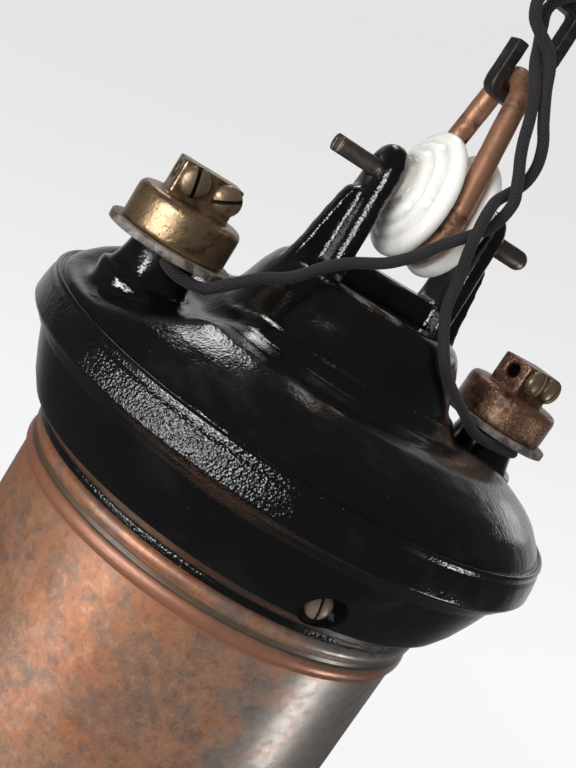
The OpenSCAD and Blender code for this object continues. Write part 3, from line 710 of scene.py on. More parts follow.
def braid():
    """Black-grey cotton braid on the cord's own UV map: U round it, V along it."""
    r = Recipe("cotton_braid", uv="Lie")
    fluff = r.noise(260.0, 5.0, 0.7, where=r.mapped(scale=(1.0, 14.0, 1.0)))
    rub = r.band(r.noise(9.0, 4.0, 0.6, where=r.mapped(scale=(1.0, 9.0, 1.0))), 0.45, 0.7)
    tone = r.layered("cloth", (r.times(rub, 0.5), "rubbed cloth"),
                     # Painted highlight: the tops of the strands are lighter
                     (r.band(r.stored("strand"), 0.70, 1.0, 0.0, 0.7), "painted strand highlight"),
                     (r.band(fluff, 0.55, 0.8, 0.0, 0.35), "fluff"))
    return r.set(colour=tone, rough=0.82, normal=r.bump(fluff, 0.35, 0.00015), specular=0.25,
                 sheen=0.10, sheen_rough=0.45)


def twine():
    """Dark waxed twine."""
    r = Recipe("waxed_twine")
    lay = r.noise(900.0, 3.0, 0.6)
    return r.set(colour=r.layered("cloth", (r.band(lay, 0.4, 0.7), "wax")), rough=0.7,
                 normal=r.bump(lay, 0.4, 0.00015), sheen=0.2, sheen_rough=0.5)


def clear_glass():
    """Clear blown glass, a little uneven."""
    r = Recipe("clear_glass")
    return r.set(colour="glass", rough=0.02, clear=1.0, ior=1.5,
                 normal=r.bump(r.noise(30.0, 2.0), 0.12, 0.001))


def opal_glass():
    """Milky cased glass with faint swirls."""
    r = Recipe("opal_glass")
    swirl = r.band(r.noise(14.0, 5.0, 0.6, 1.5), 0.4, 0.7)
    return r.set(colour=r.layered("opal", (swirl, "opal swirl")), rough=0.12,
                 normal=r.bump(r.noise(26.0, 2.0), 0.10, 0.0012), clear=0.12, ior=1.5, coat=0.5,
                 coat_rough=0.04, under=0.25, under_scale=0.01)


def carbon():
    """Matt arc carbon with fine length marks."""
    r = Recipe("arc_carbon")
    marks = r.noise(700.0, 4.0, 0.6, where=r.mapped(scale=(1.0, 1.0, 0.08)))
    return r.set(colour=r.layered("carbon", (r.band(marks, 0.4, 0.7), "carbon mark")), rough=0.62,
                 normal=r.bump(marks, 0.3, 0.0001), specular=0.4)


def wound_wire(name, bare):
    """Drawn wire with an uneven film."""
    r = Recipe(name)
    film = r.band(r.noise(120.0, 5.0, 0.65), 0.42, 0.66)
    return r.set(colour=r.layered(bare, (film, bare + " film")), metal=0.9,
                 rough=r.band(film, 0.0, 1.0, 0.28, 0.45),
                 normal=r.bump(r.noise(800.0, 3.0), 0.15, 0.0001))


METALS = {
    "brass": ("golden_brass", dict(rough=0.30, grime=0.65, pits=0.9, metal=0.88, sand=0.40,
                                   coat=0.8)),
    "bronze": ("red_bronze", dict(rough=0.26, grime=0.75, pits=1.2, metal=0.88, sand=0.95,
                                  coat=0.5)),
    "screw": ("screw_metal", dict(scale=1.6, metal=0.85, pits=0.6)),
    "worn screw": ("worn_screw", dict(scale=1.6, metal=0.5, pits=0.6)),
    "rod": ("browned_copper", dict(rough=0.46, metal=0.7, grime=0.7, scale=0.8, pits=0.6)),
    "steel": ("dull_steel", dict(grime=0.55, scale=1.2)),
}
WIRES = {"winding": "winding_wire", "resistance": "resistance_wire", "strand": "bare_strand"}
OTHERS = {
    "enamel": enamel, "case": case_copper, "porcelain": porcelain, "iron": forged_iron,
    "fibre": fibre, "braid": braid, "clear": clear_glass, "opal": opal_glass, "carbon": carbon,
    "twine": twine,
}
FINISHES = {}


def finish(look):
    """The material of this look, made once."""
    if look not in FINISHES:
        if look in METALS:
            name, values = METALS[look]
            FINISHES[look] = aged_metal(name, look, **values)
        elif look in WIRES:
            FINISHES[look] = wound_wire(WIRES[look], look)
        else:
            FINISHES[look] = OTHERS[look]()
    return FINISHES[look]


# Repeated pieces

def new_tree(name, **inputs):
    """Tree that turns a shape into a shape: its wiring, its inputs' sockets and their keys."""
    tree = bpy.data.node_groups.new(name, "GeometryNodeTree")
    for way in ("INPUT", "OUTPUT"):
        tree.interface.new_socket(name="Geometry", in_out=way, socket_type="NodeSocketGeometry")
    keys = {key: tree.interface.new_socket(
        name=key.replace("_", " ").capitalize(), in_out="INPUT",
        socket_type="NodeSocket" + kind).identifier for key, kind in inputs.items()}
    return Wiring(tree), tree.nodes.new("NodeGroupInput").outputs, keys


def close_tree(w, shape, material):
    """Ends a tree with a plain mesh in the given material."""
    real = w.node("GeometryNodeRealizeInstances", Geometry=shape)
    paint = w.node("GeometryNodeSetMaterial", Geometry=real.outputs[0], Material=material)
    w.feed(w.node("NodeGroupOutput").inputs[0], paint.outputs[0])


def set_out_tree():
    """Copies of the piece, each a step further along and a turn further round the lamp's axis."""
    w, out, keys = new_tree(
        "set_out", count="Int", place="Vector", place_step="Vector", turn="Float",
        turn_step="Float", spin="Float", spin_step="Float", centre="Vector", material="Material")
    index = w.node("GeometryNodeInputIndex").outputs[0]

    def stepped(name, kind="ShaderNodeMath"):
        moved = w.maths("MULTIPLY", out[name + " step"], index, kind)
        return w.maths("ADD", moved, out[name], kind)

    vectors = "ShaderNodeVectorMath"
    points = w.node("GeometryNodePoints", Count=out["Count"])
    turn = stepped("Turn")
    swing = w.node("ShaderNodeVectorRotate", Vector=stepped("Place", vectors), Angle=turn)
    swing.rotation_type = "Z_AXIS"
    put = w.node("GeometryNodeSetPosition", Geometry=points.outputs[0],
                 Position=w.maths("ADD", swing.outputs[0], out["Centre"], vectors))
    angles = w.node("ShaderNodeCombineXYZ", Y=stepped("Spin"), Z=turn)
    copies = w.node("GeometryNodeInstanceOnPoints", Points=put.outputs[0],
                    Instance=out["Geometry"], Rotation=angles.outputs[0])
    close_tree(w, copies.outputs[0], out["Material"])
    return w.tree, keys


def helix_tree():
    """Round wire wound on a drum."""
    w, out, keys = new_tree("wound_wire", turns="Float", radius="Float", height="Float",
                            wire_radius="Float", centre="Vector", material="Material")
    path = w.node("GeometryNodeCurveSpiral", Resolution=44, Rotations=out["Turns"],
                  Start_Radius=out["Radius"], End_Radius=out["Radius"], Height=out["Height"])
    ring = w.node("GeometryNodeCurvePrimitiveCircle", Resolution=8, Radius=out["Wire radius"])
    tube = w.node("GeometryNodeCurveToMesh", Curve=path.outputs[0],
                  Profile_Curve=ring.outputs[0], Fill_Caps=True)
    move = w.node("GeometryNodeTransform", Geometry=tube.outputs[0], Translation=out["Centre"])
    close_tree(w, move.outputs[0], out["Material"])
    return w.tree, keys


TREES = {}


def grown(obj, maker, look, **values):
    """Runs a tree on obj with these inputs and keeps the result as a plain mesh."""
    if maker not in TREES:
        TREES[maker] = maker()
    tree, keys = TREES[maker]
    grow = obj.modifiers.new("grow", "NODES")
    grow.node_group = tree
    grow[keys["material"]] = finish(look)
    for key, value in values.items():
        grow[keys[key]] = tuple(value) if isinstance(value, Vector) else value
    return baked(obj)


# Cords

LEFT_ROUTE = [
    (-83.4, -13.9, 26), (-83.5, -16, 26), (-81, -18.5, 25), (-76, -20, 24.5), (-69, -22, 25.6),
    (-62, -24, 32), (-54, -25, 39), (-45, -25.5, 44.5), (-35, -24.5, 54), (-27, -24.5, 60),
    (-17, -26, 66), (-9, -27.5, 74), (-3.6, -28, 81.3), (0.1, -28.6, 85.7), (4, -28.7, 90),
    (6.6, -28.7, 93.1), (9.3, -28.7, 96), (10.3, -29.2, 100), (9.8, -31.5, 104.4),
    (9, -32.5, 108.9), (7, -31.6, 113.5), (5.7, -29.6, 118), (4.2, -27.5, 122.4),
    (2.5, -25.5, 128.3),
    (1, -23, 135.9), (-1.6, -20, 144.3), (-5, -15.2, 152.8), (-5.4, -10.6, 159.2),
    (-7, -8.2, 165.2), (-9, -7.7, 172), (-5, -7.5, 179), (3, -9.3, 186), (3, -9.3, 193),
    (3, -9.3, 203), (3.5, -9.5, 213),
]
RIGHT_ROUTE = [
    (85.1, -13.4, 26), (85.6, -15.5, 26), (83, -18.3, 26), (77.5, -19.5, 25.8), (67, -20.5, 25.5),
    (58, -22.5, 27), (50, -26.5, 30.5), (42.5, -31.5, 33.5), (36, -36, 36), (29, -39.5, 39),
    (22.5, -41.5, 42.5), (17, -41.5, 47.5), (13.5, -36.5, 55), (11, -31.5, 64), (9.5, -30.5, 74),
    (6.3, -31.5, 82.4), (4.1, -33, 88), (2.8, -33.4, 93.7), (2.5, -32.8, 99.6), (4.9, -29, 105),
    (8.7, -26.4, 109.4), (11.6, -25.8, 113.7), (13.1, -25.6, 118.3), (12.8, -25.5, 124.4),
    (10.2, -25, 131.1), (6.2, -23.5, 137.5), (2, -20.5, 146.6), (-0.7, -18.2, 154.1),
    (-4.9, -16.2, 159.5), (-10.4, -15.2, 162.3), (-14.6, -13.5, 165.8), (-16.5, -12.5, 172),
    (-12.5, -12, 179), (-3, -9.3, 186), (-3, -9.3, 193), (-3, -9.3, 203), (-3.5, -9.5, 213),
]
CORD_GAP = 0.00023


def even_path(points, gap):
    """Points at an even gap on a smooth curve through the given ones."""
    guides = [2 * points[0] - points[1]] + points + [2 * points[-1] - points[-2]]
    dense = []
    for i in range(1, len(guides) - 2):
        a, b, c, d = guides[i - 1:i + 3]
        for k in range(24):
            t = k / 24
            dense.append(0.5 * (2 * b + (c - a) * t + (2 * a - 5 * b + 4 * c - d) * t * t
                                + (3 * b - a - 3 * c + d) * t ** 3))
    dense.append(points[-1])
    reach = [0.0]
    for p, q in zip(dense, dense[1:]):
        reach.append(reach[-1] + (q - p).length)
    count = max(2, round(reach[-1] / gap))
    result, j = [], 0
    for i in range(count + 1):
        want = reach[-1] * i / count
        while j < len(reach) - 2 and reach[j + 1] < want:
            j += 1
        span = reach[j + 1] - reach[j]
        result.append(dense[j].lerp(dense[j + 1], (want - reach[j]) / span if span else 0.0))
    return result


def carried_frames(path):
    """Point, side and over vectors along a path, without twist."""
    result, side = [], None
    for i, p in enumerate(path):
        along = (path[min(i + 1, len(path) - 1)] - path[max(i - 1, 0)]).normalized()
        if side is None:
            side = along.orthogonal().normalized()
        side = (side - along * side.dot(along)).normalized()
        result.append((p, side, along.cross(side)))
    return result


def path_length(path):
    return sum((q - p).length for p, q in zip(path, path[1:]))


def strand_height(u, v):
    """Height, from 0 to 1, of a plain braid of two crossing families of strands."""
    over = 0.5 + 0.5 * math.cos(math.pi * (v - 0.5 + math.floor(u)))
    under = 0.5 - 0.5 * math.cos(math.pi * (u - 0.5 + math.floor(v)))
    return max(math.sin(math.pi * (u % 1.0)) ** 0.6 * (0.25 + 0.75 * over),
               math.sin(math.pi * (v % 1.0)) ** 0.6 * (0.25 + 0.75 * under))


def braided_tube(name, rings, first, radius, depth, sides, strands, pitch, gap):
    """Closed tube along the rings with a braid standing out of it, and its UV map."""
    points, heights = [], []
    for i, (p, side, over) in enumerate(rings):
        s = (first + i) * gap
        loose = 1.0 + 0.012 * noise.noise(p * 210.0)
        for k in range(sides):
            a = k / sides
            lift = strand_height(strands * (a + s / pitch), strands * (a - s / pitch))
            heights.append(lift)
            r = (radius - depth + depth * lift) * loose
            a *= 2 * math.pi
            points.append(p + r * (math.cos(a) * side + math.sin(a) * over))
    faces = tube_faces(len(rings), sides)
    hubs = len(points)
    for base, centre in ((0, rings[0][0]), (hubs - sides, rings[-1][0])):
        hub = len(points)
        points.append(centre)
        heights.append(0.0)
        for k in range(sides):
            a, b = base + k, base + (k + 1) % sides
            faces.append((hub, a, b) if base == 0 else (hub, b, a))
    mesh = bpy.data.meshes.new(name)
    mesh.from_pydata([tuple(p) for p in points], [], faces)
    # Strand heights, which the braid finish uses to paint a highlight on the strand tops
    mesh.attributes.new("strand", "FLOAT", "POINT").data.foreach_set("value", heights)
    lie = mesh.uv_layers.new(name="Lie")
    for face in mesh.polygons:
        turns = [v % sides for v in face.vertices]
        wrap = max(turns) - min(turns) > sides / 2
        for corner in face.loop_indices:
            v = mesh.loops[corner].vertex_index
            if v < hubs:
                a = (v % sides) / sides
                a += 1.0 if wrap and a < 0.5 else 0.0
                lie.data[corner].uv = (a, (first + v // sides) * gap / (2 * math.pi * radius))
            else:
                lie.data[corner].uv = (0.0, 0.0)
    obj = fresh(name, mesh)
    edit(obj, lambda work: bmesh.ops.recalc_face_normals(work, faces=work.faces))
    obj.data.shade_smooth()
    return obj


def bare_end(name, start, towards, radius):
    """Seven bare copper strands, slightly twisted, that stick out of a conductor's cut end."""
    along = (towards - start).normalized()
    side, over = crosswise(along)
    thick, step, strands = radius / 3.0, 0.0006, []
    for i in range(7):
        ring = 0.0 if i == 6 else 2 * thick
        path = []
        for k in range(13):
            a = math.radians(60 * i + 9 * k)
            path.append(start + along * (k * step)
                        + ring * (math.cos(a) * side + math.sin(a) * over))
        strands.append(braided_tube(f"{name}_{i}", carried_frames(path), 0, thick, 0.0,
                                    sides=10, strands=1, pitch=0.01, gap=step))
    obj = joined(name, strands)
    obj.data.shade_smooth()
    return obj


class MakeCords(bpy.types.Operator):
    """Braided conductors, each in two lengths"""

    bl_idname = "street_lamp.cords"
    bl_label = "Cords"

    def execute(self, context):
        width = sizes().cord
        for side, route in (("left", LEFT_ROUTE), ("right", RIGHT_ROUTE)):
            path = even_path([at(*p) for p in route], CORD_GAP)
            rings = carried_frames(path)
            while rings[-1][0].z > level(CORD_CUT):
                rings.pop()
            path = path[:len(rings)]
            part = next(i for i, p in enumerate(path) if p.z > level(CORD_PART))
            lower, upper = (finished(
                braided_tube(f"{side}_cord_{name}", rings[a:b], a, width / 2 + 0.00002,
                             sizes().braid, sides=72, strands=12, pitch=0.024, gap=CORD_GAP),
                None, "braid", "cloth", f"{side}_cord")
                for name, a, b in (("lower", 0, part + 1), ("upper", part, len(path))))
            end = finished(bare_end(f"{side}_cord_end", path[-1], path[-1] * 2 - path[-6], 0.00125),
                           "hook", "strand", "wire_copper")
            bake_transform(lower)
            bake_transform(upper)
            low, high = path[:part + 1], path[part:]
            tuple(low[0])
            path_length(low)
            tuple(high[0])
            path_length(high)
        return {"FINISHED"}


# Suspension

class MakeSuspension(bpy.types.Operator):
    """Forged hook, whipping, copper hanger rod and split pin"""

    bl_idname = "street_lamp.suspension"
    bl_label = "Suspension"

    def execute(self, context):
        hook = recast(copied("hook_iron", "suspension_hook"), grid=0.0007, passes=5)
        pushed(hook, lambda p: 0.00016 * (noise.noise(p * 0.16) + 0.5 * noise.noise(p * 0.42)))
        finished(hook, "hook", "iron", "forged_iron", "suspension_hook")
        self.whipping()
        self.rod()
        pin = softened("split_pin", "hanger_pin")
        pin.data.transform(Matrix.Scale(-1.0, 4, (0, 1, 0)))
        finished(outward(pin), "lamp", "steel", "steel", "hanger_pin")
        return {"FINISHED"}

    def whipping(self):
        """Turns of twine round the conductors and the hook's neck."""
        outline = [(-7.1, -8.6), (-6.1, -11.9), (-3, -13.25), (3, -13.25), (6.1, -11.9),
                   (7.1, -8.6), (7.2, -2), (6.3, 3.2), (3.8, 6.2), (0, 7.3), (-3.8, 6.2),
                   (-6.3, 3.2), (-7.2, -2)]
        loop = even_path([Vector((x, y, 0)) for x, y in outline + outline[:1]], 0.35)[:-1]
        turns, gap, climb, thick = 5, 0.756, 0.76, 0.46
        path = [at(p.x, p.y, WHIPPING + gap * t + climb * i / len(loop))
                for t in range(turns) for i, p in enumerate(loop)]
        twine = braided_tube("twine_whipping", carried_frames(path), 0, thick * MM, 0.0,
                             sides=10, strands=3, pitch=0.004, gap=0.00035)
        whole = joined("whipping", [twine, softened("whipping_core", "cord_tie")])
        whole.data.shade_smooth()
        finished(whole, "hook", "twine", "cloth", "cord_tie")

    def rod(self):
        """Closed loop of round rod: round the spool below and over the hook above."""
        lean = math.degrees(math.asin((GROOVE - LOOP_BEND) / (LOOP_TOP - PIN)))
        low = [Vector(p) for p in arc(0, PIN, GROOVE, 180 - lean, 360 + lean, 96)]
        high = [Vector(p) for p in arc(0, LOOP_TOP, LOOP_BEND, lean, 180 - lean, 56)]
        line = (low + [low[-1].lerp(high[0], t / 40) for t in range(1, 40)]
                + high + [high[-1].lerp(low[0], t / 40) for t in range(1, 40)])
        radius, sides = sizes().rod / 2 - 0.0001, 40
        points, count = [], len(line)
        for i, p in enumerate(line):
            along = (line[(i + 1) % count] - line[i - 1]).normalized()
            out = Vector((0.0, along.y, -along.x))
            here = at(0, p.x, p.y)
            worn = noise.noise(here * 160.0) * 0.00010 + noise.noise(here * 45.0) * 0.00012
            for k in range(sides):
                a = 2 * math.pi * k / sides
                points.append(here + (radius + worn)
                              * (Vector((math.cos(a), 0, 0)) + math.sin(a) * out))
        rod = outward(solid("copper_rod", points, tube_faces(count, sides, closed=True)))
        rod.data.shade_smooth()
        finished(rod, "loop", "rod", "rod_copper", "hanger_loop")


class MakeSpool(bpy.types.Operator):
    """Porcelain spool with ridged, domed flanges"""

    bl_idname = "street_lamp.spool"
    bl_label = "Porcelain spool"

    def execute(self, context):
        steps = [(3.7, 0), (8.5, 0), (10, 1.2), (10.8, 3.6), (14.2, 4.6), (15.8, 6.5),
                 (17.6, 6.3), (19.3, 7.1), (20.6, 9.0), (22.6, 9.1)]
        left = [(r, h - SPOOL_HALF) for r, h in steps]
        outline = (left + arc(23, -8.6, 3, -60, 90, 12) + arc(GROOVE, 0, 4.7, 265, 95, 24)
                   + arc(23, 8.6, 3, -90, 60, 12) + [(r, -h) for r, h in reversed(left)])
        spool = turned("spool", eased(outline, 0.9, 5, 9.0), 160, place=on_pin)
        finished(shaded(spool, 60.0), "spool", "porcelain", "porcelain", "porcelain_spool")
        return {"FINISHED"}


# Cast cap

def cap_outline():
    """Rim, raised line, skirt and lip, then up the inside."""
    rim = [(-8.5, -1.5), (-6, 0.6), (-4.2, 0.7), (-3.7, 1.0), (-3.3, 1.9), (-2.5, 2.0),
           (-1.9, 1.0), (-2.1, -1.0), (-1.3, -2.4), (-0.5, -6.6), (0, -11.0), (-0.9, -12.4),
           (-1.9, -13.2), (-4.4, -16.4), (-6.2, -17.6), (-7.2, -19), (-8.2, -22),
           (-10.4, -28), (-13.8, -36), (-17.4, -42)]
    lip = [(5.2, -45.2), (3, -47), (3.2, -47.8), (2.6, LIP + 0.5), (1.6, LIP), (0.35, LIP),
           (0.35, -30), (6, -26)]
    inside = [(-14, -22), (-10, -10), (-11.5, -4)]
    return ([(RIM + r, h) for r, h in rim] + [(CASE + r, h) for r, h in lip]
            + [(RIM + r, h) for r, h in inside])


def boss_hollow(place):
    """How far the shoulder sinks, from 0 to 1, round the foot of a boss."""
    away = math.hypot(abs(place.x) - TERMINAL, place.y)
    outer = smooth_step(math.hypot(place.x, place.y), 88.0, 106.0)
    return (smooth_step(away, 12.6, 16.4) * (1.0 - smooth_step(away, 22.0, 46.0))
            * smooth_step(place.z + EYE, 2.0, 9.0) * (1.0 - 0.45 * outer))


class MakeCap(bpy.types.Operator):
    """Cast cap: crown with clevis and bosses, and the rim with its raised line"""

    bl_idname = "street_lamp.cap"
    bl_label = "Cast cap"

    def execute(self, context):
        low, high, reach = -3, 130, RIM - 4.4
        sink, seat = 0.0066, 0.008
        keep = turned("keep", [(0, low), (reach, low), (reach, high), (0, high)], 256,
                      closed=False)
        crown = carved(copied("cap_crown", "top_cap"), "INTERSECT", keep)
        recast(crown, grid=sizes().casting, passes=9)
        pushed(crown, lambda p: 0.00010 * (noise.noise(p * 0.11) + 0.4 * noise.noise(p * 0.37)))
        for v in crown.data.vertices:
            v.co.z -= sink * boss_hollow(v.co * 1000)
        finished(crown, "lamp", "enamel", "enamelled_iron", "top_cap")
        seats = []
        for angle in SCREW_ANGLES:
            out = Vector((math.cos(math.radians(angle)), math.sin(math.radians(angle)), 0))
            centre = at(0, 0, SCREW_LEVEL)
            seats.append(round_bar("seat", centre + out * (CASE + 5.5) * MM,
                                   centre + out * (RIM + 17.5) * MM, seat, 48))
        rim = turned("cap_rim", eased(cap_outline(), 0.9, 3, 9.0), 320)
        shaded(carved(rim, "DIFFERENCE", *seats), 32.0)
        finished(rim, "lamp", "enamel", "enamelled_iron", "top_cap")
        return {"FINISHED"}


class MakeCase(bpy.types.Operator):
    """Copper case with two beads under the lip and a rolled lower edge"""

    bl_idname = "street_lamp.case"
    bl_label = "Copper case"

    def execute(self, context):
        top, bottom = LIP - 15.3, CASE_LOW + 26
        outline = ([(CASE - SHEET, -31), (CASE, -31), (CASE, LIP - 0.5)]
                   + arc(CASE - 1.6, LIP - 3.3, 3.2, 58, -50, 14)
                   + [(CASE + 0.1, LIP - 6.8), (CASE + 0.1, LIP - 8)]
                   + arc(CASE - 2.6, LIP - 11.6, 4.2, 50, -52, 14)
                   + [(CASE, top - (top - bottom) * t / 30) for t in range(31)]
                   + arc(CASE - 2.2, CASE_LOW + 22, 3.4, 60, -60, 12)
                   + [(CASE, CASE_LOW + 18), (CASE, CASE_LOW), (CASE - SHEET, CASE_LOW)])
        case = turned("copper_sheet", eased(outline, 0.5, 3, 12.0), 256)
        for v in case.data.vertices:
            p = v.co * 1000
            if CASE_LOW + 30 < p.z + EYE < LIP - 18:
                sway = 0.00016 * noise.noise(p * 0.013) + 0.00007 * noise.noise(p * 0.05)
                v.co += Vector((v.co.x, v.co.y, 0)).normalized() * sway
        finished(shaded(case, 40.0), "lamp", "case", "case_copper", "copper_case")
        return {"FINISHED"}


# Terminals

class MakeTerminals(bpy.types.Operator):
    """Wire terminals and their fibre washers"""

    bl_idname = "street_lamp.terminals"
    bl_label = "Terminals"

    def execute(self, context):
        washer = eased([(STUD_HOLE, BOSS_TOP), (WASHER, BOSS_TOP), (WASHER, WASHER_TOP),
                        (STUD_HOLE, WASHER_TOP)], 0.5, 3)
        discs = []
        for side, (x, turn, metal) in TERMINALS.items():
            post = copied(f"{side}_post", f"{side}_terminal")
            recast(post, grid=0.0006, passes=14)
            pushed(post, lambda p: 0.00005 * noise.noise(p * 0.6))
            centre = at(x, 0, WIRE_LEVEL)
            back = Matrix.Rotation(-math.radians(turn), 3, "Z")
            # Painted shade inside the wire hole and the clamp screw holes
            store_hole_shade(post, lambda co: self.depth(back @ (co - centre) * 1000))
            finished(post, "lamp", metal, metal, f"{side}_terminal")
            disc = turned("washer", washer, 128, place=upright(x))
            for v in disc.data.vertices:
                away = v.co - at(x, 0, (BOSS_TOP + WASHER_TOP) / 2)
                if away.length > 0.012:
                    away.z = 0
                    chipped = max(0.0, noise.noise(v.co * 190.0) + 0.25)
                    v.co -= away.normalized() * 0.00025 * chipped
            discs.append(disc)
        finished(shaded(joined("fibre_washers", discs), 45.0), "lamp", "fibre", "fibre",
                 "terminal_washers")
        return {"FINISHED"}

    def depth(self, p):
        """How far a point of the block, in millimetres, lies in the wire or a screw hole, for the
        painted shade there.
        """
        wire = math.hypot(p.y, p.z) < 3.25
        screw = p.y < 0 and min(math.hypot(p.x - CLAMP_SHIFT - s, p.z)
                                for s in (-CLAMP_HALF, CLAMP_HALF)) < 2.75
        return smooth_step(12.0 - abs(p.x), 0.2, 2.2) if wire or screw else 0.0


def screw_blank(name, head_r, head_h, shank_r, reach):
    """Slotted round-head screw along +Y, its head at -Y, at the origin."""
    dome = [(head_r * math.cos(math.radians(a)),
             -head_h * (0.35 + 0.65 * math.sin(math.radians(a)))) for a in range(8, 90, 8)]
    outline = ([(0.0, reach), (shank_r, reach), (shank_r, 0.0), (head_r, 0.0),
                (head_r, -head_h * 0.30)] + dome + [(0.0, -head_h)])
    blank = turned(name, eased(outline, 0.22, 2, 25.0, closed=False), 40, closed=False,
                   place=lying)
    corners = [Vector((x, y, z)) * MM for x in (-0.75, 0.75)
               for y in (-head_h - 1, -head_h + 2.5) for z in (-head_r - 1, head_r + 1)]
    slot = solid("slot", corners, [(0, 1, 3, 2), (4, 6, 7, 5), (0, 4, 5, 1),
                                   (2, 3, 7, 6), (0, 2, 6, 4), (1, 5, 7, 3)])
    bevelled(carved(blank, "DIFFERENCE", outward(slot)), 0.00014, 50)
    # Painted shade, partly grime, in the screw's slot
    store_hole_shade(blank, lambda co: float(
        abs(co.x) < 0.95 * MM and -head_h + 1.9 < co.y * 1000 < -0.4
        and abs(co.z) * 1000 < head_r + 0.1))
    return blank


def nut_blank(name, across, height, hole):
    """Hexagon nut with chamfered corners, standing on the origin."""
    corner, flat = across * 1.01, across * 0.90
    body = turned(name, [(hole, 0), (across, 0), (across, height), (hole, height)], 6,
                  place=standing)
    inside = hole - 0.1
    shape = turned("chamfer", [(inside, -0.1), (flat, -0.1), (corner, 0.9),
                               (corner, height - 0.9), (flat, height + 0.1),
                               (inside, height + 0.1)], 48, place=standing)
    return carved(body, "INTERSECT", shape)


def thumb_blank(name):
    """Knurled thumbscrew along +Y, the face of its head at the origin."""
    head, steps = 7.5, 72

    def knurled(r, h, a):
        odd = round(a / (2 * math.pi / steps)) % 2
        return lying(r - (0.35 if r == head and odd else 0.0), h, a)

    outline = [(0, 0), (6.3, 0), (head, 1.0), (head, 5.0), (6.3, 6.0), (3.0, 6.0), (3.0, 25.6),
               (0, 25.6)]
    return turned(name, outline, steps, closed=False, place=knurled)


class MakeFasteners(bpy.types.Operator):
    """Slotted screws and hexagon nuts, set out by Geometry Nodes"""

    bl_idname = "street_lamp.fasteners"
    bl_label = "Screws and nuts"

    def execute(self, context):
        for side, tilts in (("left", (-12, 62)), ("right", (5, 20))):
            x, turn, metal = TERMINALS[side]
            blank = screw_blank(f"{side}_clamp_heads", head_r=5.6, head_h=4.3, shank_r=2.48,
                                reach=4.5)
            self.set_out(blank, "screw", metal, f"{side}_clamp_screws", 38.0, count=2,
                         place=at(CLAMP_SHIFT - CLAMP_HALF, -CLAMP_FRONT, WIRE_LEVEL),
                         place_step=Vector((2 * CLAMP_HALF, 0, 0)) * MM, turn=math.radians(turn),
                         spin=math.radians(tilts[0]), spin_step=math.radians(tilts[1] - tilts[0]),
                         centre=Vector((x, 0, 0)) * MM)
        third = math.radians(120)
        blank = screw_blank("case_screw_heads", head_r=5.05, head_h=3.35, shank_r=2.4, reach=11)
        self.set_out(blank, "worn screw", "bronze", "case_screws", 38.0, count=3,
                     place=at(0, -SCREW_SEAT, SCREW_LEVEL), turn=math.radians(-2),
                     turn_step=third, spin=math.radians(-14))
        self.set_out(nut_blank("rod_hexagons", across=7.4, height=6.4, hole=4.05),
                     "steel", "steel", "rod_nuts", 30.0, count=2,
                     place=at(0, SIDE_ROD, NUT_LEVEL), turn_step=math.radians(180))
        self.set_out(thumb_blank("thumbscrews"), "brass", "brass", "globe_screws", 35.0,
                     count=3, place=at(0, -THUMB_REACH, THUMB_LEVEL), turn_step=third)
        return {"FINISHED"}

    def set_out(self, blank, look, slot, node, angle, **values):
        grown(blank, set_out_tree, look, **values)
        finished(shaded(blank, angle), "lamp", look, slot, node)


# Lower lamp

class MakeLowerLamp(bpy.types.Operator):
    """Base casting and opal outer globe"""

    bl_idname = "street_lamp.lower"
    bl_label = "Base and globe"

    def execute(self, context):
        base = recast(copied("base_iron", "base_casting"), grid=0.0013, passes=5)
        finished(base, "lamp", "enamel", "enamelled_iron", "base_casting")
        neck, bend, top = 56, 30, COLLAR - 2
        bore = neck - GLASS
        outer = ([(neck, COLLAR + 17), (neck, top)] + self.throat(neck, top, bend)
                 + arc(SHOULDER, BELLY + 20, bend, 47, 0, 20)
                 + arc(0, BELLY, GLOBE, 0, -86, 56) + [(0, BELLY - GLOBE)])
        inner = ([(0, BELLY - GLOBE + GLASS)] + arc(0, BELLY, GLOBE - GLASS, -86, 0, 56)
                 + arc(SHOULDER, BELLY + 20, bend - GLASS, 0, 47, 20)
                 + self.throat(bore, top, bend - GLASS)[::-1]
                 + [(bore, top), (bore, COLLAR + 21), (neck + 2.5, COLLAR + 21),
                    (neck + 2.5, COLLAR + 17)])
        globe = turned("opal_globe", eased(outer, 1.5, 4, 20.0, closed=False)
                       + eased(inner, 1.0, 4, 20.0, closed=False), 160)
        finished(shaded(globe, 60.0), "lamp", "opal", "opal_glass", "outer_globe")
        return {"FINISHED"}

    def throat(self, radius, top, bend):
        """Curve from the globe's neck out to its shoulder."""
        slope = math.radians(48)
        a, b = Vector((radius, top)), Vector((radius, top - 24))
        end = Vector((SHOULDER + bend * math.cos(slope), BELLY + 20 + bend * math.sin(slope)))
        c = end - 17 * Vector((math.sin(slope), -math.cos(slope)))
        curve = []
        for k in range(1, 25):
            t = k / 24
            p = a * (1 - t) ** 3 + 3 * b * t * (1 - t) ** 2 + 3 * c * t * t * (1 - t) + end * t ** 3
            curve.append(tuple(p))
        return curve


# Mechanism

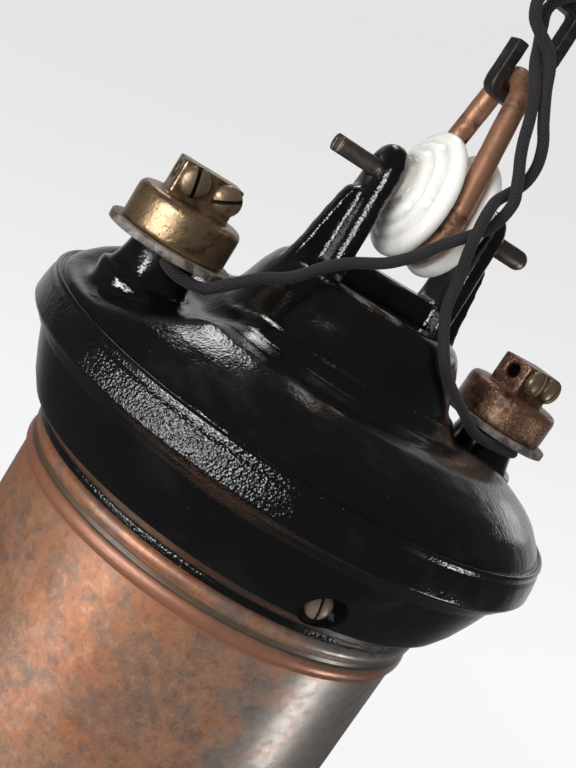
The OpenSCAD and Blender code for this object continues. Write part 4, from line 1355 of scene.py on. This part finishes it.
class MakeMechanism(bpy.types.Operator):
    """Windings by Geometry Nodes, and finishes for the pieces inside the case"""

    bl_idname = "street_lamp.mechanism"
    bl_label = "Mechanism"

    def execute(self, context):
        layers = [grown(fresh(f"layer_{i}"), helix_tree, "winding", turns=25.0,
                        radius=radius * MM, height=0.0705, wire_radius=0.00135,
                        centre=at(0, 0, -225.2)) for i, radius in enumerate((40.3, 37.6))]
        low, high, bore, drum = -227, -153, 19.1, 36.2
        core = turned("coil_drum", [(bore, low), (drum, low), (drum, high), (bore, high)], 96)
        finished(shaded(joined("coil_turns", layers + [core]), 50.0), "lamp", "winding",
                 "wire_copper", "coil_winding")
        spiral = grown(fresh("ballast_turns"), helix_tree, "resistance", turns=26.0,
                       radius=0.0122, height=0.204, wire_radius=0.0009,
                       centre=at(62, 0, CASE_LOW + 13))
        finished(shaded(spiral, 60.0), "lamp", "resistance", "resistance_wire", "ballast_wire")
        looks = {
            "brass": "terminal_studs terminal_nuts carbon_tube coil_bobbin lift_yoke clutch "
                     "dashpot_cylinder carbon_cap trip_bush frame_rods lower_yoke lower_holder",
            "steel": "side_rods plate_nuts armature dashpot_piston ballast_bolt holder_screw",
            "iron": "magnet_top_plate magnet_bottom_plate",
            "fibre": "top_plate gas_cap",
            "porcelain": "terminal_bushings ballast_core",
            "carbon": "upper_carbon lower_carbon",
            "clear": "inner_globe",
        }
        for look, nodes in looks.items():
            for node in nodes.split():
                dressed(node, look)
        return {"FINISHED"}


# Stage

FLOOR, FLOOR_HALF = -0.83, 4
LENS = 51.195
VIEW_PLACE = (-0.196369, -0.377277, -0.118080)
VIEW_TURN = (1.3411525, -0.5621518, -0.3329059)

# Name, place, aim, width, height and power of each lamp
LAMPS = (
    ("rim_box", (-0.95, -0.60, -0.17), (-0.03, -0.03, -0.21), 0.85, 0.22, 6.4),
    ("neck_box", (-0.894, -0.688, 0.141), (-0.088, -0.012, -0.18), 0.26, 0.13, 1.2),
    ("case_box", (-1.0, -0.42, -0.78), (-0.03, -0.03, -0.33), 0.45, 0.40, 3.6),
    ("right_strip", (0.86, -0.52, -0.83), (0.02, -0.08, -0.25), 0.24, 0.71, 3.4),
    ("edge", (0.98, 0.55, 0.14), (0.05, -0.05, -0.19), 0.25, 0.25, 0.12),
    ("back", (-0.09, 0.66, 0.53), (-0.07, -0.04, -0.19), 0.30, 0.26, 1.0),
    ("sky", (-0.45, -0.15, 1.2), (0.0, 0.0, -0.15), 0.9, 0.9, 6.0),
)


class MakeStage(bpy.types.Operator):
    """Camera at the photo's angle, soft lamps, pale floor and background"""

    bl_idname = "street_lamp.stage"
    bl_label = "Stage"

    def execute(self, context):
        scene = context.scene
        scene.view_settings.view_transform = "Standard"
        camera = bpy.data.cameras.new("camera")
        camera.lens, camera.sensor_width = LENS, 36.0
        camera.clip_start = 0.01
        view = bpy.data.objects.new("camera", camera)
        view.location, view.rotation_euler = VIEW_PLACE, VIEW_TURN
        scene.collection.objects.link(view)
        scene.camera = view
        self.floor()
        self.world(scene)
        for name, place, aim, width, height, power in LAMPS:
            light = bpy.data.lights.new(name, "AREA")
            light.shape = "RECTANGLE"
            light.size, light.size_y, light.energy = width, height, power
            lamp = bpy.data.objects.new(name, light)
            lamp.location = place
            facing = Vector(aim) - Vector(place)
            lamp.rotation_euler = facing.to_track_quat("-Z", "Y").to_euler()
            lamp.visible_camera = False
            lamp.visible_glossy = name != "sky"
            scene.collection.objects.link(lamp)
        return {"FINISHED"}

    def floor(self):
        """Pale paper floor that keeps the shadow near the lamp and fades into the backdrop."""
        ends = (-FLOOR_HALF, FLOOR_HALF)
        corners = [Vector((x, y, FLOOR)) for y in ends for x in ends]
        plane = solid("floor", corners, [(0, 1, 3, 2)])
        r = Recipe("floor_paper")
        grain = r.times(r.noise(300.0, 2.0), 0.1)
        r.set(colour=r.layered("backdrop", (grain, "floor")), rough=0.9)
        glow = r.node("ShaderNodeEmission", Color="floor glow")
        dim = r.node("ShaderNodeEmission", Color="floor dim")
        gone = r.node("ShaderNodeBsdfTransparent")
        rays = r.node("ShaderNodeLightPath").outputs
        x, y, _ = r.xyz()
        seen = r.most(rays["Is Camera Ray"], rays["Is Transmission Ray"])
        lit = r.mixed(r.times(seen, 0.9), r.shader, glow)
        lit = r.mixed(rays["Is Glossy Ray"], lit, dim)
        lit = r.mixed(r.band(r.away(x, y), 0.8, 2.4), lit, gone)
        lit = r.mixed(r.node("ShaderNodeNewGeometry").outputs["Backfacing"], lit, gone)
        r.feed(r.tree.nodes["Material Output"].inputs["Surface"], lit.outputs[0])
        plane.data.materials.append(r.material)

    def world(self, scene):
        """Dim fill, and a pale background that shows behind the lamp in metal and glass too."""
        scene.world = bpy.data.worlds.new("studio")
        scene.world.use_nodes = True
        w = Wiring(scene.world.node_tree)
        w.tree.nodes.clear()
        place = w.node("ShaderNodeTexCoord").outputs["Generated"]
        rays = w.node("ShaderNodeLightPath").outputs

        def faded(direction, low, high, out_high):
            """Smooth step along a direction in the room."""
            dot = w.tree.nodes.new("ShaderNodeVectorMath")
            dot.operation = "DOT_PRODUCT"
            w.feed(dot.inputs[0], place)
            w.feed(dot.inputs[1], direction)
            return w.band(dot.outputs["Value"], low, high, 0.0, out_high)

        fill, dark = (w.node("ShaderNodeBackground", Strength=s) for s in (0.85, 0.04))
        height = faded((-0.169, 0.289, 0.942), -0.30, 0.32, 1.0)
        shown = w.node("ShaderNodeBackground", Strength=1.0,
                       Color=w.layered("high background", (height, "backdrop")))
        behind = w.times(rays["Is Glossy Ray"], faded((0.43, 0.88, -0.15), 0.55, 0.95, 0.5))
        seen = w.most(rays["Is Camera Ray"], rays["Is Transmission Ray"])
        room = w.mixed(rays["Is Glossy Ray"], fill, dark)
        whole = w.mixed(w.most(seen, behind), room, shown)
        w.node("ShaderNodeOutputWorld", Surface=whole.outputs[0])


# Add-on

class LampPanel(bpy.types.Panel):
    """Lists the steps, sizes and colours of the street lamp"""

    bl_idname = "VIEW3D_PT_street_lamp"
    bl_label = "Street Lamp"
    bl_space_type = "VIEW_3D"
    bl_region_type = "UI"
    bl_category = "Street Lamp"

    def draw(self, context):
        for step in STEPS:
            self.layout.operator(step.bl_idname)
        for group in (context.scene.lamp_sizes, context.scene.lamp_colours):
            for name in group.__annotations__:
                self.layout.prop(group, name)


STEPS = (MakeStage, MakeCords, MakeCap, MakeCase, MakeTerminals, MakeFasteners, MakeSpool,
         MakeSuspension, MakeLowerLamp, MakeMechanism)
CLASSES = (LampSizes, LampColours, LampPanel) + STEPS


def register():
    for kind in CLASSES:
        bpy.utils.register_class(kind)
    bpy.types.Scene.lamp_sizes = bpy.props.PointerProperty(type=LampSizes)
    bpy.types.Scene.lamp_colours = bpy.props.PointerProperty(type=LampColours)


def unregister():
    del bpy.types.Scene.lamp_colours
    del bpy.types.Scene.lamp_sizes
    for kind in reversed(CLASSES):
        bpy.utils.unregister_class(kind)


def main():
    register()
    for step in STEPS:
        space, name = step.bl_idname.split(".")
        getattr(getattr(bpy.ops, space), name)()


if __name__ == "__main__":
    main()
